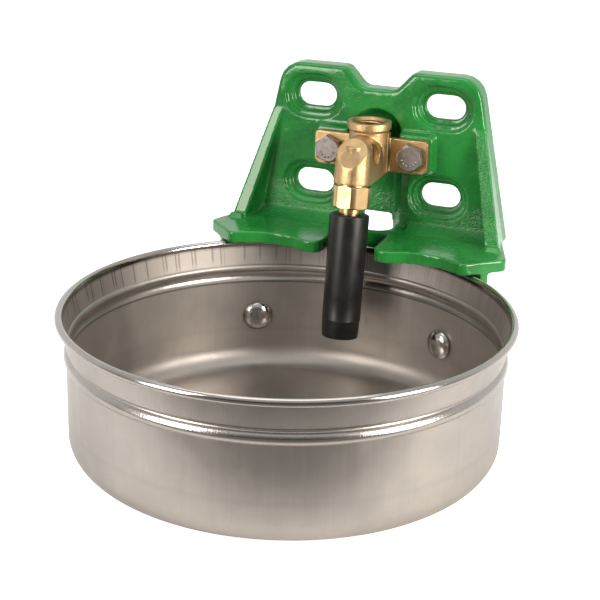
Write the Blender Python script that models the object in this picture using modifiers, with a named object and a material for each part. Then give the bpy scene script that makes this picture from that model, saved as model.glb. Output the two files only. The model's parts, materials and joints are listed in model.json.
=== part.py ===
"""Stainless steel drinker for cattle and horses.

A deep-drawn bowl hangs under a cast iron wall bracket. A brass valve with a rubber-sleeved
tube stands over the bowl: the animal pushes the tube and water runs down it. Metres, +Z up.
The origin is the middle of the bowl's base and the wall is on the +Y side.
"""

import math

import bmesh
import bpy
from mathutils import Matrix, Vector

# Fits, and the step that keeps faces of one casting's joined shapes out of a common plane
SEAT_GAP = 0.0003
BOLT_PLAY = 0.0005
CAST_STEP = 0.0004

# Bowl, one deep-drawn sheet with a rolled rim
BODY_RADIUS = 0.1337
RIM_OVERHANG = 0.0063
RIM_RADIUS = BODY_RADIUS + RIM_OVERHANG
RIM_BEAD_RADIUS = 0.0025
BOWL_HEIGHT = 0.0918
BOWL_SHEET = 0.0012
BASE_CORNER_RADIUS = 0.0154
SHOULDER_HEIGHT = 0.0668
SHOULDER_RISE = 0.0016
SHOULDER_HALF = 0.0040
GROOVE_DEPTH = 0.0018
GROOVE_WIDTH = 0.0030
BOWL_STEPS = 48

# Carriage bolts that hold the bowl to the bracket's skirt
BOWL_BOLT_ANGLE = 30.2
BOWL_BOLT_HEIGHT = 0.037
BOWL_BOLT_RADIUS = 0.004
BOWL_BOLT_HEAD_RADIUS = 0.0103
BOWL_BOLT_HEAD_HEIGHT = 0.0048
BOWL_SEAL_RADIUS = 0.010
BOWL_SEAL_THICKNESS = 0.002
BOWL_WASHER_RADIUS = 0.008
BOWL_WASHER_THICKNESS = 0.0016
BOWL_NUT_FLATS = 0.013
BOWL_NUT_HEIGHT = 0.0065
THREAD_END = 0.0025

# Bracket, cast iron: wall plate
WALL_REACH = 0.037
WALL_PLANE = RIM_RADIUS + WALL_REACH
PLATE_STAND = 0.016
PLATE_FRONT = WALL_PLANE - PLATE_STAND
CAST_WALL = 0.0045
CAST_FILLET = 0.003
CAST_DRAFT = 0.0005
LOBE_TOP = 0.209
LOBE_INNER = 0.024
LOBE_OUTER = 0.0733
LOBE_CORNER = 0.016
NOTCH_HALF = 0.0118
NOTCH_FLOOR = 0.1957
NOTCH_CORNER = 0.008
PLATE_FOOT_HALF = 0.0943
PLATE_FOOT = 0.0975

# Bracket: mounting slots with stepped pockets
SLOT_SPACING_X = 0.0926
SLOT_UPPER = 0.1867
SLOT_LOWER = 0.1248
SLOT_WIDTH = 0.0278
SLOT_HEIGHT = 0.0164
POCKET_MARGIN = 0.0066
POCKET_STEP = 0.0028
POCKET_STEP_DEPTH = 0.0030
POCKET_DEPTH = 0.0075
SLOT_FLOOR = 0.004

# Bracket: pad for the valve, pipe channel and its way out
PAD_PROUD = 0.006
PAD_FRONT = PLATE_FRONT - PAD_PROUD
PAD_MARGIN = 0.001
PAD_BOTTOM = 0.143
PAD_TOP = 0.1675
PAD_DRAFT = 0.0018
CHANNEL_HALF = 0.0185
CHANNEL_BACK_HALF = 0.0125
CHANNEL_TOP = 0.183
CHANNEL_BACK_WALL = 0.004
MOUTH_HALF = 0.0255
MOUTH_SHOULDER_DEPTH = 0.0022
MOUTH_SHOULDER_RADIUS = 0.006
PIPE_EXIT_HALF = 0.0103
PIPE_EXIT_TOP = 0.106
PIPE_HOLE_HALF = 0.014
PIPE_HOLE_REACH = 0.011
PIPE_HOLE_FRONT = PLATE_FRONT - PIPE_HOLE_REACH
PIPE_HOLE_CORNER = 0.009

# Bracket: shelf wings on the rim, side gussets, skirt behind the bowl
SHELF_THICKNESS = 0.0082
SHELF_FILLET = 0.0025
SHELF_NOTCH_HALF = 0.0185
SHELF_NOTCH_REACH = 0.0185
SHELF_NOTCH_BACK = PLATE_FRONT - SHELF_NOTCH_REACH
SHELF_NOTCH_CORNER = 0.006
SHELF_END_REACH = 0.064
SHELF_END_Y = PLATE_FRONT - SHELF_END_REACH
SHELF_END_RADIUS = 0.008
SHELF_BAY_X = 0.0525
SHELF_BAY_REACH = 0.0425
SHELF_BAY_Y = PLATE_FRONT - SHELF_BAY_REACH
SHELF_BAY_RADIUS = 0.043
SHELF_CORNER_X = 0.082
SHELF_CORNER_REACH = 0.0615
SHELF_CORNER_Y = PLATE_FRONT - SHELF_CORNER_REACH
SHELF_SIDE_X = 0.106
SHELF_SIDE_REACH = 0.039
SHELF_SIDE_Y = PLATE_FRONT - SHELF_SIDE_REACH
SHELF_CORNER_RADIUS = 0.005
ROOT_REACH = 0.0115
ROOT_FRONT = PLATE_FRONT - ROOT_REACH
ROOT_RISE = 0.0047
GUSSET_TOP = 0.176
GUSSET_TOP_WIDTH = 0.0075
GUSSET_FOOT_REACH = 0.025
GUSSET_FOOT_FRONT = PLATE_FRONT - GUSSET_FOOT_REACH
GUSSET_FOOT_OUTER = 0.0982
GUSSET_FOOT_WIDTH = 0.010
GUSSET_TOE = 0.0045
GUSSET_TOE_RISE = 0.0031
SKIRT_PLAY = 0.0037
SKIRT_WALL = 0.0063
SKIRT_BOTTOM = 0.020
SKIRT_HALF_ANGLE = 40.0
BOWL_BOSS_RADIUS = 0.011
BOWL_BOSS_PROUD = 0.002
RIB_X = 0.052
RIB_THICKNESS = 0.005
RIB_FOOT = 0.045

# Valve: flange and its bolts
FLANGE_THICKNESS = 0.0047
FLANGE_HALF = 0.0405
FLANGE_BOTTOM = 0.142
FLANGE_TOP = 0.1657
VALVE_BOLT_INSET = 0.0112
VALVE_BOLT_X = FLANGE_HALF - VALVE_BOLT_INSET
PAD_HALF = FLANGE_HALF + PAD_MARGIN
VALVE_BOLT_Z = 0.1542
VALVE_BOLT_RADIUS = 0.005
VALVE_BOLT_FLATS = 0.017
VALVE_BOLT_HEAD = 0.0062
VALVE_BOLT_LENGTH = 0.025
VALVE_NUT_HEIGHT = 0.008
VALVE_WASHER_RADIUS = 0.010
VALVE_WASHER_THICKNESS = 0.002
NUT_RECESS_PLAY = 0.0005

# Valve: upright inlet with a half-inch female thread
INLET_STAND = 0.009
INLET_Y = PAD_FRONT - INLET_STAND
INLET_TOP = 0.1773
INLET_COLLAR_RADIUS = 0.015
INLET_COLLAR_HEIGHT = 0.005
INLET_BOSS_RADIUS = 0.0135
INLET_BORE_RADIUS = 0.0093
INLET_BORE_DEPTH = 0.0238

# Valve: outlet chamber, leaning back from the animal
OUTLET_TILT = math.radians(8.0)
OUTLET_REACH = 0.032
OUTLET_Y = INLET_Y - OUTLET_REACH
OUTLET_Z = 0.1412
OUTLET_RADIUS = 0.0127
DOME_RADIUS = 0.0122
DOME_CENTRE = 0.0176
LINK_RADIUS = 0.012
LINK_RISE = 0.0035
LINK_HEIGHT = FLANGE_BOTTOM + LINK_RADIUS + LINK_RISE
SPOT_HALF = 0.0092
SPOT_TOOL = 0.02
SPOT_LEAN = math.radians(18.0)
SOCKET_RADIUS = 0.0112
SOCKET_DEPTH = 0.0124
CHAMBER_RADIUS = 0.0063
CHAMBER_TOP = 0.025

# Flow plug across the passage
PLUG_REACH = 0.0195
PLUG_Y = INLET_Y - PLUG_REACH
PLUG_Z = 0.1594
PLUG_HEAD_RADIUS = 0.0066
PLUG_HEAD_BACK = 0.0069
PLUG_HEAD_THICKNESS = 0.0028
PLUG_STEM_RADIUS = 0.0033
PLUG_STEM_END = 0.0053
PLUG_HOLE_RADIUS = 0.0023
PLUG_SLOT_WIDTH = 0.0014
PLUG_SLOT_DEPTH = 0.0011
PLUG_SLOT_ANGLE = 12.0
PLUG_RING_RADIUS = 0.0005
PASSAGE_RADIUS = 0.0026

# Outlet nut, the seat ring it clamps and the pivot ring it carries
NUT_FLATS = 0.0242
NUT_TURNED_RADIUS = 0.013
NUT_TOP = 0.0005
NUT_LENGTH = 0.0146
NUT_CHAMFER = 0.0008
NUT_TURN = 60.0 - 7.8
SPIGOT_LENGTH = 0.0101
SPIGOT_WALL = 0.0016
PIVOT_DEPTH = 0.006
POCKET_RADIUS = 0.0093
POCKET_LIP = 0.0056
NUT_MOUTH_RADIUS = 0.0096
SEAT_HOLE_RADIUS = 0.0038
PIVOT_RING_WALL = 0.0011
PIVOT_RING_TOP = 0.0012
PIVOT_RING_BOTTOM = 0.0046

# Plunger and spring
PLUNGER_SEAL_THICKNESS = 0.0015
PLUNGER_DISC_RADIUS = 0.0056
PLUNGER_DISC_THICKNESS = 0.0018
PLUNGER_STEM_RADIUS = 0.002
PLUNGER_FOOT_RADIUS = 0.0034
PLUNGER_FOOT_THICKNESS = 0.002
PLUNGER_LASH = 0.0006
PLUNGER_GUIDE_LENGTH = 0.003
SPRING_WIRE_RADIUS = 0.0005
SPRING_RADIUS = 0.004
SPRING_TURNS = 5

# Outlet tube with its ball head, and the rubber sleeve
HEAD_FLAT = 0.0035
HEAD_ORIFICE = 0.0025
NECK_RADIUS = 0.0055
TUBE_BORE_RADIUS = 0.0035
COLLAR_RADIUS = 0.00765
COLLAR_TOP = 0.0162
COLLAR_LENGTH = 0.0034
SHANK_RADIUS = 0.0065
SHANK_RECESS = 0.0070
SLEEVE_TOP_RADIUS = 0.0131
SLEEVE_SEAM_RADIUS = 0.0128
SLEEVE_TIP_RADIUS = 0.0120
SLEEVE_LENGTH = 0.0835
SLEEVE_TIP_LENGTH = 0.0125
SLEEVE_SEAM_STEP = 0.0002
SLEEVE_EDGE = 0.002

# Colour, roughness and metallic value of each finish
STAINLESS = ((0.50, 0.48, 0.46), 0.32, 1.0)
GREEN_ENAMEL = ((0.02, 0.20, 0.05), 0.18, 0.0)
CAST_BRASS = ((0.62, 0.42, 0.20), 0.38, 1.0)
TURNED_BRASS = ((0.75, 0.55, 0.27), 0.22, 1.0)
ZINC_STEEL = ((0.48, 0.47, 0.48), 0.35, 1.0)
POLISHED_STEEL = ((0.70, 0.68, 0.66), 0.15, 1.0)
BLACK_RUBBER = ((0.012, 0.012, 0.013), 0.45, 0.0)
WHITE_ACETAL = ((0.75, 0.74, 0.70), 0.40, 0.0)

for old in list(bpy.data.objects):
    bpy.data.objects.remove(old, do_unlink=True)

PARTS = bpy.data.collections.new("stainless_steel_drinker")
CUTTERS = bpy.data.collections.new("cutters")
bpy.context.scene.collection.children.link(PARTS)
bpy.context.scene.collection.children.link(CUTTERS)


# Small tools

def paint(obj, finish):
    colour, roughness, metallic = finish
    mat = bpy.data.materials.new(obj.name)
    mat.use_nodes = True
    shader = mat.node_tree.nodes["Principled BSDF"]
    shader.inputs["Base Color"].default_value = (*colour, 1.0)
    shader.inputs["Roughness"].default_value = roughness
    shader.inputs["Metallic"].default_value = metallic
    obj.data.materials.clear()
    obj.data.materials.append(mat)


def add_object(name, mesh, finish=None):
    """Link a mesh as a part, or as a cutter when it has no finish."""
    obj = bpy.data.objects.new(name, mesh)
    if finish is None:
        CUTTERS.objects.link(obj)
        obj.hide_render = True
        obj.display_type = "WIRE"
    else:
        PARTS.objects.link(obj)
        paint(obj, finish)
    return obj


def add_empty(name, parent=None, location=(0.0, 0.0, 0.0), rotation=(0.0, 0.0, 0.0)):
    empty = bpy.data.objects.new(name, None)
    PARTS.objects.link(empty)
    empty.parent = parent
    empty.location = location
    empty.rotation_euler = rotation
    return empty


def from_bmesh(name, bm, finish=None, smooth_angle=30.0):
    mesh = bpy.data.meshes.new(name)
    bm.normal_update()
    bm.to_mesh(mesh)
    bm.free()
    mesh.shade_smooth()
    mesh.set_sharp_from_angle(angle=math.radians(smooth_angle))
    return add_object(name, mesh, finish)


def boolean(target, other, operation):
    mod = target.modifiers.new(f"{operation.lower()} {other.name}", "BOOLEAN")
    mod.operation = operation
    mod.object = other
    mod.solver = "EXACT"


def cut(target, other):
    boolean(target, other, "DIFFERENCE")


def join(target, other):
    boolean(target, other, "UNION")


def arc(cx, cy, radius, start, end, steps):
    """Points on an arc, angles in degrees, both ends included."""
    points = []
    for i in range(steps + 1):
        angle = math.radians(start + (end - start) * i / steps)
        points.append((cx + radius * math.cos(angle), cy + radius * math.sin(angle)))
    return points


def rounded(corners, steps=4):
    """An outline from (x, y, fillet radius) corners."""
    points = []
    count = len(corners)
    for i, (x, y, radius) in enumerate(corners):
        here = Vector((x, y))
        if radius == 0.0:
            points.append((x, y))
            continue
        before = (Vector(corners[i - 1][:2]) - here).normalized()
        after = (Vector(corners[(i + 1) % count][:2]) - here).normalized()
        half = before.angle(after) / 2.0
        centre = here + (before + after).normalized() * radius / math.sin(half)
        first = here + before * radius / math.tan(half) - centre
        last = here + after * radius / math.tan(half) - centre
        turn = first.angle_signed(last)
        for k in range(steps + 1):
            point = centre + Matrix.Rotation(-turn * k / steps, 2) @ first
            points.append((point.x, point.y))
    return points


def obround(width, height, steps=8):
    straight = (width - height) / 2.0
    right = arc(straight, 0.0, height / 2.0, -90.0, 90.0, steps)
    left = arc(-straight, 0.0, height / 2.0, 90.0, 270.0, steps)
    return right + left


def plate(name, outline, thickness, finish=None):
    """A flat outline in the XY plane, extruded evenly about z = 0."""
    curve = bpy.data.curves.new(name, "CURVE")
    curve.dimensions = "2D"
    curve.fill_mode = "BOTH"
    curve.extrude = thickness / 2.0
    spline = curve.splines.new("POLY")
    spline.points.add(len(outline) - 1)
    for point, (x, y) in zip(spline.points, outline):
        point.co = (x, y, 0.0, 1.0)
    spline.use_cyclic_u = True
    source = bpy.data.objects.new(name + " outline", curve)
    CUTTERS.objects.link(source)
    graph = bpy.context.evaluated_depsgraph_get()
    mesh = bpy.data.meshes.new_from_object(source.evaluated_get(graph))
    bpy.data.objects.remove(source)
    bm = bmesh.new()
    bm.from_mesh(mesh)
    bpy.data.meshes.remove(mesh)
    bmesh.ops.remove_doubles(bm, verts=bm.verts, dist=0.00001)
    bmesh.ops.dissolve_limit(bm, angle_limit=0.01, verts=bm.verts, edges=bm.edges)
    bmesh.ops.recalc_face_normals(bm, faces=bm.faces)
    return from_bmesh(name, bm, finish)


def reshape(obj, edit):
    """Edit an object's mesh with a function that takes a bmesh."""
    bm = bmesh.new()
    bm.from_mesh(obj.data)
    edit(bm)
    bm.normal_update()
    bm.to_mesh(obj.data)
    bm.free()
    obj.data.shade_smooth()
    obj.data.set_sharp_from_angle(angle=math.radians(30.0))


def turned(name, profile, steps, finish=None, ring=False):
    """Turn (radius, height) points about Z. The outer side runs from top to bottom."""
    mesh = bpy.data.meshes.new(name)
    edges = [(i, i + 1) for i in range(len(profile) - 1)]
    if ring:
        edges.append((len(profile) - 1, 0))
    mesh.from_pydata([(r, 0.0, z) for r, z in profile], edges, [])
    obj = add_object(name, mesh, finish)
    screw = obj.modifiers.new("turn", "SCREW")
    screw.steps = steps
    screw.render_steps = steps
    screw.use_merge_vertices = True
    screw.merge_threshold = 0.00001
    screw.use_smooth_shade = True
    return obj


def box(name, low, high, finish=None):
    size = Vector(high) - Vector(low)
    middle = (Vector(high) + Vector(low)) / 2.0
    bm = bmesh.new()
    bmesh.ops.create_cube(bm, size=1.0, matrix=Matrix.Translation(middle) @ Matrix.Diagonal((*size, 1.0)))
    return from_bmesh(name, bm, finish)


def rod(name, radius, start, end, segments=24, finish=None):
    """A straight cylinder between two points."""
    start = Vector(start)
    axis = Vector(end) - start
    matrix = Matrix.Translation(start + axis / 2.0) @ axis.to_track_quat("Z", "Y").to_matrix().to_4x4()
    bm = bmesh.new()
    bmesh.ops.create_cone(
        bm, cap_ends=True, segments=segments, radius1=radius, radius2=radius,
        depth=axis.length, matrix=matrix,
    )
    return from_bmesh(name, bm, finish)


def hull(name, bm, finish=None):
    """The convex hull of everything in a bmesh."""
    points = [v.co.copy() for v in bm.verts]
    bm.free()
    bm = bmesh.new()
    for point in points:
        bm.verts.new(point)
    found = bmesh.ops.convex_hull(bm, input=bm.verts)
    unused = {e for key in ("geom_interior", "geom_unused") for e in found[key]}
    bmesh.ops.delete(bm, geom=[e for e in unused if isinstance(e, bmesh.types.BMVert)], context="VERTS")
    bmesh.ops.dissolve_limit(bm, angle_limit=0.001, verts=bm.verts, edges=bm.edges)
    bmesh.ops.recalc_face_normals(bm, faces=bm.faces)
    return from_bmesh(name, bm, finish)


def loft(name, rings, finish=None):
    """Skin between rings that hold the same number of points, closed by flat ends."""
    bm = bmesh.new()
    loops = [[bm.verts.new(point) for point in ring] for ring in rings]
    count = len(rings[0])
    for lower, upper in zip(loops, loops[1:]):
        for i in range(count):
            j = (i + 1) % count
            bm.faces.new((lower[i], lower[j], upper[j], upper[i]))
    bm.faces.new(loops[0])
    bm.faces.new(loops[-1])
    bmesh.ops.recalc_face_normals(bm, faces=bm.faces)
    return from_bmesh(name, bm, finish)


def hex_prism(name, flats, low, high, turn=0.0, finish=None):
    """A six-sided prism about Z, its first flat turned from -Y by an angle in degrees."""
    matrix = Matrix.Translation((0.0, 0.0, (low + high) / 2.0)) @ Matrix.Rotation(math.radians(turn), 4, "Z")
    bm = bmesh.new()
    corner_radius = flats / 2.0 / math.cos(math.radians(30.0))
    bmesh.ops.create_cone(
        bm, cap_ends=True, segments=6, radius1=corner_radius, radius2=corner_radius,
        depth=high - low, matrix=matrix,
    )
    return from_bmesh(name, bm, finish)


# Bowl

SHEET_CURL_RADIUS = RIM_BEAD_RADIUS - BOWL_SHEET
CURL_CENTRE_R = RIM_RADIUS - RIM_BEAD_RADIUS
CURL_CENTRE_Z = BOWL_HEIGHT - RIM_BEAD_RADIUS


def bowl_outer_face():
    """The sheet's outer face, from the end of the rolled rim down to the middle of the base."""
    groove_z = SHOULDER_HEIGHT + SHOULDER_HALF + GROOVE_WIDTH / 2.0
    groove_r = BODY_RADIUS - GROOVE_DEPTH
    path = arc(CURL_CENTRE_R, CURL_CENTRE_Z, SHEET_CURL_RADIUS, -100.0, 180.0, 7)
    path.append((CURL_CENTRE_R - SHEET_CURL_RADIUS, CURL_CENTRE_Z - RIM_BEAD_RADIUS))
    path.append((BODY_RADIUS, groove_z + GROOVE_WIDTH * 0.6))
    path.append((groove_r, groove_z + GROOVE_WIDTH * 0.15))
    path.append((groove_r, groove_z - GROOVE_WIDTH * 0.15))
    for share in (0.85, 0.35, -0.25, -0.75):
        bulge = SHOULDER_RISE * math.cos(share * math.pi / 2.0)
        path.append((BODY_RADIUS + bulge, SHOULDER_HEIGHT + share * SHOULDER_HALF))
    path.append((BODY_RADIUS, SHOULDER_HEIGHT - SHOULDER_HALF))
    path += arc(BODY_RADIUS - BASE_CORNER_RADIUS, BASE_CORNER_RADIUS, BASE_CORNER_RADIUS, 0.0, -90.0, 4)
    path.append((0.0, 0.0))
    return path


def radial_frame(side):
    """Local +X of this frame runs outward through one bowl bolt."""
    angle = math.radians(90.0 - side * BOWL_BOLT_ANGLE)
    return Matrix.Translation((0.0, 0.0, BOWL_BOLT_HEIGHT)) @ Matrix.Rotation(angle, 4, "Z")


def radial_rod(name, side, radius, start, end, segments=24, finish=None):
    frame = radial_frame(side)
    return rod(name, radius, frame @ Vector((start, 0, 0)), frame @ Vector((end, 0, 0)), segments, finish)


def build_bowl():
    bowl = turned("bowl", bowl_outer_face(), BOWL_STEPS, STAINLESS)
    sheet = bowl.modifiers.new("sheet", "SOLIDIFY")
    sheet.thickness = BOWL_SHEET
    sheet.offset = -1.0
    sheet.use_even_offset = True
    for side, word in ((-1, "left"), (1, "right")):
        reach = (BODY_RADIUS - 0.008, BODY_RADIUS + 0.008)
        cut(bowl, radial_rod(f"bowl hole {word}", side, BOWL_BOLT_RADIUS + BOLT_PLAY, *reach, 16))


# Bowl fasteners, outward along each bolt

WALL_INSIDE = BODY_RADIUS - BOWL_SHEET
HEAD_SEAT = math.sqrt(WALL_INSIDE ** 2 - BOWL_BOLT_HEAD_RADIUS ** 2) - 2.0 * SEAT_GAP
SEAL_START = BODY_RADIUS + SEAT_GAP
BOSS_START = SEAL_START + BOWL_SEAL_THICKNESS + SEAT_GAP
SKIRT_INNER = RIM_RADIUS + SKIRT_PLAY
SKIRT_OUTER = SKIRT_INNER + SKIRT_WALL
BOSS_END = SKIRT_OUTER + BOWL_BOSS_PROUD
WASHER_START = BOSS_END + SEAT_GAP
NUT_START = WASHER_START + BOWL_WASHER_THICKNESS + SEAT_GAP
BOLT_END = NUT_START + BOWL_NUT_HEIGHT + THREAD_END


def washer(name, outer, inner, start, thickness, steps, finish):
    profile = [(outer, start + thickness), (outer, start), (inner, start), (inner, start + thickness)]
    return turned(name, profile, steps, finish, ring=True)


def hex_nut(name, flats, height, bore, start, finish):
    """A hexagon nut about Z and the rod that opens its bore."""
    nut = hex_prism(name, flats, start, start + height, 0.0, finish)
    hole = rod(name + " bore", bore, (0.0, 0.0, start - height), (0.0, 0.0, start + 2.0 * height), 18)
    cut(nut, hole)
    return nut, hole


def build_bowl_fasteners():
    for side, word in ((-1, "left"), (1, "right")):
        outward = radial_frame(side) @ Matrix.Rotation(math.radians(90.0), 4, "Y")
        dome = []
        for i in range(6):
            angle = math.radians(18.0 * i)
            height = HEAD_SEAT - BOWL_BOLT_HEAD_HEIGHT * math.cos(angle)
            dome.append((BOWL_BOLT_HEAD_RADIUS * math.sin(angle), height))
        shank = [
            (BOWL_BOLT_RADIUS, HEAD_SEAT), (BOWL_BOLT_RADIUS, BOLT_END - 0.001),
            (BOWL_BOLT_RADIUS - 0.001, BOLT_END), (0.0, BOLT_END),
        ]
        bolt = turned(f"bowl_bolt_{word}", list(reversed(dome + shank)), 20, POLISHED_STEEL)
        seal = washer(
            f"bowl_seal_{word}", BOWL_SEAL_RADIUS, BOWL_BOLT_RADIUS + BOLT_PLAY,
            SEAL_START, BOWL_SEAL_THICKNESS, 20, BLACK_RUBBER,
        )
        ring = washer(
            f"bowl_washer_{word}", BOWL_WASHER_RADIUS, BOWL_BOLT_RADIUS + SEAT_GAP,
            WASHER_START, BOWL_WASHER_THICKNESS, 20, ZINC_STEEL,
        )
        nut, nut_bore = hex_nut(
            f"bowl_nut_{word}", BOWL_NUT_FLATS, BOWL_NUT_HEIGHT,
            BOWL_BOLT_RADIUS + SEAT_GAP, NUT_START, ZINC_STEEL,
        )
        for piece in (bolt, seal, ring, nut, nut_bore):
            piece.matrix_world = outward


# Bracket

UPRIGHT = (math.radians(90.0), 0.0, 0.0)
SHELF_BOTTOM = BOWL_HEIGHT + SEAT_GAP
SHELF_TOP = SHELF_BOTTOM + SHELF_THICKNESS
PLATE_INSIDE = PLATE_FRONT + CAST_WALL
PLATE_DEPTH = WALL_PLANE - PLATE_FRONT
POCKET_WIDTH = SLOT_WIDTH + 2.0 * POCKET_MARGIN
POCKET_HEIGHT = SLOT_HEIGHT + 2.0 * POCKET_MARGIN
POCKET_FLOOR_Y = PLATE_FRONT + POCKET_DEPTH


def plate_side_x(z):
    """Half-width of the wall plate's sloping side at a height."""
    start = LOBE_TOP - LOBE_CORNER
    return LOBE_OUTER + (PLATE_FOOT_HALF - LOBE_OUTER) * (start - z) / (start - SHELF_BOTTOM)


def plate_outline():
    half = [
        (NOTCH_HALF, NOTCH_FLOOR, NOTCH_CORNER), (LOBE_INNER, LOBE_TOP, CAST_WALL + 0.002),
        (plate_side_x(LOBE_TOP), LOBE_TOP, LOBE_CORNER), (plate_side_x(PLATE_FOOT), PLATE_FOOT, 0.0),
    ]
    mirrored = [(-x, z, radius) for x, z, radius in reversed(half)]
    return rounded(half + mirrored)


def upright(obj, y, x=0.0, z=0.0):
    """Stand a plate up so that its outline lies in XZ and its thickness along Y."""
    obj.location = (x, y, z)
    obj.rotation_euler = UPRIGHT
    return obj


def cast_shell():
    """The wall plate: a shallow tray, open towards the wall, with rounded front edges."""
    shell = plate("bracket", plate_outline(), PLATE_DEPTH, GREEN_ENAMEL)
    half = PLATE_DEPTH / 2.0

    def hollow_and_round(bm):
        back = [f for f in bm.faces if all(v.co.z < -half * 0.99 for v in f.verts)]
        bmesh.ops.inset_region(bm, faces=back, thickness=CAST_WALL - CAST_DRAFT, use_even_offset=True)
        bmesh.ops.inset_region(
            bm, faces=back, thickness=CAST_DRAFT, depth=CAST_WALL - PLATE_DEPTH, use_even_offset=True,
        )
        front = [e for e in bm.edges if all(v.co.z > half * 0.99 for v in e.verts)]
        bmesh.ops.bevel(
            bm, geom=front, offset=CAST_FILLET, offset_type="OFFSET", segments=2,
            profile=0.5, affect="EDGES", clamp_overlap=True,
        )

    reshape(shell, hollow_and_round)
    return upright(shell, PLATE_FRONT + half)


def ring_in_plane(outline, y, x=0.0, z=0.0):
    return [(x + px, y, z + pz) for px, pz in outline]


def slot_places():
    for side in (-1, 1):
        for level, height in (("upper", SLOT_UPPER), ("lower", SLOT_LOWER)):
            yield side * SLOT_SPACING_X / 2.0, height, f"{level} {'left' if side < 0 else 'right'}"


def arch(half_width, top, bottom, steps=10):
    """An upright opening outline with a round top."""
    crown = arc(0.0, top - half_width, half_width, 0.0, 180.0, steps)
    return [(half_width, bottom)] + crown + [(-half_width, bottom)]


def shelf():
    """Two wings that rest on the rim, joined by a bar behind the notch for the tube."""
    half_outline = [
        (SHELF_NOTCH_HALF, SHELF_NOTCH_BACK, SHELF_NOTCH_CORNER),
        (SHELF_NOTCH_HALF, SHELF_END_Y, SHELF_END_RADIUS),
        (SHELF_BAY_X, SHELF_BAY_Y, SHELF_BAY_RADIUS),
        (SHELF_CORNER_X, SHELF_CORNER_Y, SHELF_CORNER_RADIUS),
        (SHELF_SIDE_X, SHELF_SIDE_Y, SHELF_CORNER_RADIUS),
        (plate_side_x(SHELF_TOP) - CAST_STEP, PLATE_INSIDE - CAST_STEP, 0.0),
    ]
    mirrored = [(-x, y, radius) for x, y, radius in reversed(half_outline)]
    slab = plate("shelf", rounded(half_outline + mirrored), SHELF_THICKNESS)
    half = SHELF_THICKNESS / 2.0

    def round_top(bm):
        edges = [
            e for e in bm.edges
            if all(v.co.z > half * 0.99 for v in e.verts) and any(v.co.y < PLATE_FRONT for v in e.verts)
        ]
        bmesh.ops.bevel(
            bm, geom=edges, offset=SHELF_FILLET, offset_type="OFFSET", segments=2,
            profile=0.5, affect="EDGES", clamp_overlap=True,
        )

    reshape(slab, round_top)
    slab.location = (0.0, 0.0, SHELF_BOTTOM + half)
    return slab


def across(obj, x):
    """Stand a plate up so that its outline lies in YZ and its thickness along X."""
    obj.matrix_world = Matrix(((0, 0, 1, x), (1, 0, 0, 0), (0, 1, 0, 0), (0, 0, 0, 1)))
    return obj


def root_fillet(side):
    """The cove between plate and shelf, from the channel's mouth to the gusset."""
    radius = ((PLATE_FRONT - ROOT_FRONT) ** 2 + ROOT_RISE ** 2) / (2.0 * ROOT_RISE)
    end = math.degrees(math.asin((ROOT_RISE - radius) / radius))
    outline = arc(ROOT_FRONT, SHELF_TOP + radius, radius, -90.0, end, 4)
    outline[-1] = (PLATE_FRONT + CAST_STEP, outline[-1][1])
    outline += [(PLATE_FRONT + CAST_STEP, SHELF_TOP - CAST_STEP), (ROOT_FRONT, SHELF_TOP - CAST_STEP)]
    inner = MOUTH_HALF + CAST_STEP
    outer = plate_side_x(SHELF_TOP) - GUSSET_FOOT_WIDTH / 2.0
    return across(plate(f"root {side}", outline, outer - inner), side * (outer + inner) / 2.0)


def gusset(side):
    """The side wall that runs from high on the plate forward and down to the shelf."""
    top_outer = plate_side_x(GUSSET_TOP) - CAST_STEP
    foot_outer = plate_side_x(SHELF_BOTTOM) - CAST_STEP
    back = PLATE_INSIDE - CAST_STEP
    low = SHELF_BOTTOM + SHELF_THICKNESS / 2.0
    bm = bmesh.new()
    for x, y, z in (
        (top_outer, PLATE_FRONT, GUSSET_TOP),
        (top_outer - GUSSET_TOP_WIDTH, PLATE_FRONT, GUSSET_TOP),
        (top_outer, back, GUSSET_TOP),
        (top_outer - GUSSET_TOP_WIDTH, back, GUSSET_TOP),
        (GUSSET_FOOT_OUTER, GUSSET_FOOT_FRONT, low),
        (GUSSET_FOOT_OUTER - GUSSET_FOOT_WIDTH, GUSSET_FOOT_FRONT, low),
        (foot_outer, back, low),
        (foot_outer - GUSSET_FOOT_WIDTH, back, low),
    ):
        bm.verts.new((side * x, y, z))
    return hull(f"gusset {side}", bm)


def gusset_toe(side):
    """The short ramp from the gusset's foot down to the shelf."""
    foot = SHELF_TOP + GUSSET_TOE_RISE
    inner = GUSSET_FOOT_OUTER - GUSSET_FOOT_WIDTH + CAST_STEP
    outline = [
        (GUSSET_FOOT_FRONT - GUSSET_TOE, SHELF_TOP - CAST_STEP),
        (GUSSET_FOOT_FRONT + GUSSET_TOE, SHELF_TOP - CAST_STEP),
        (GUSSET_FOOT_FRONT + CAST_STEP, foot),
        (GUSSET_FOOT_FRONT - CAST_STEP, foot),
    ]
    width = GUSSET_FOOT_OUTER - CAST_STEP - inner
    return across(plate(f"gusset toe {side}", outline, width), side * (inner + width / 2.0))


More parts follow.
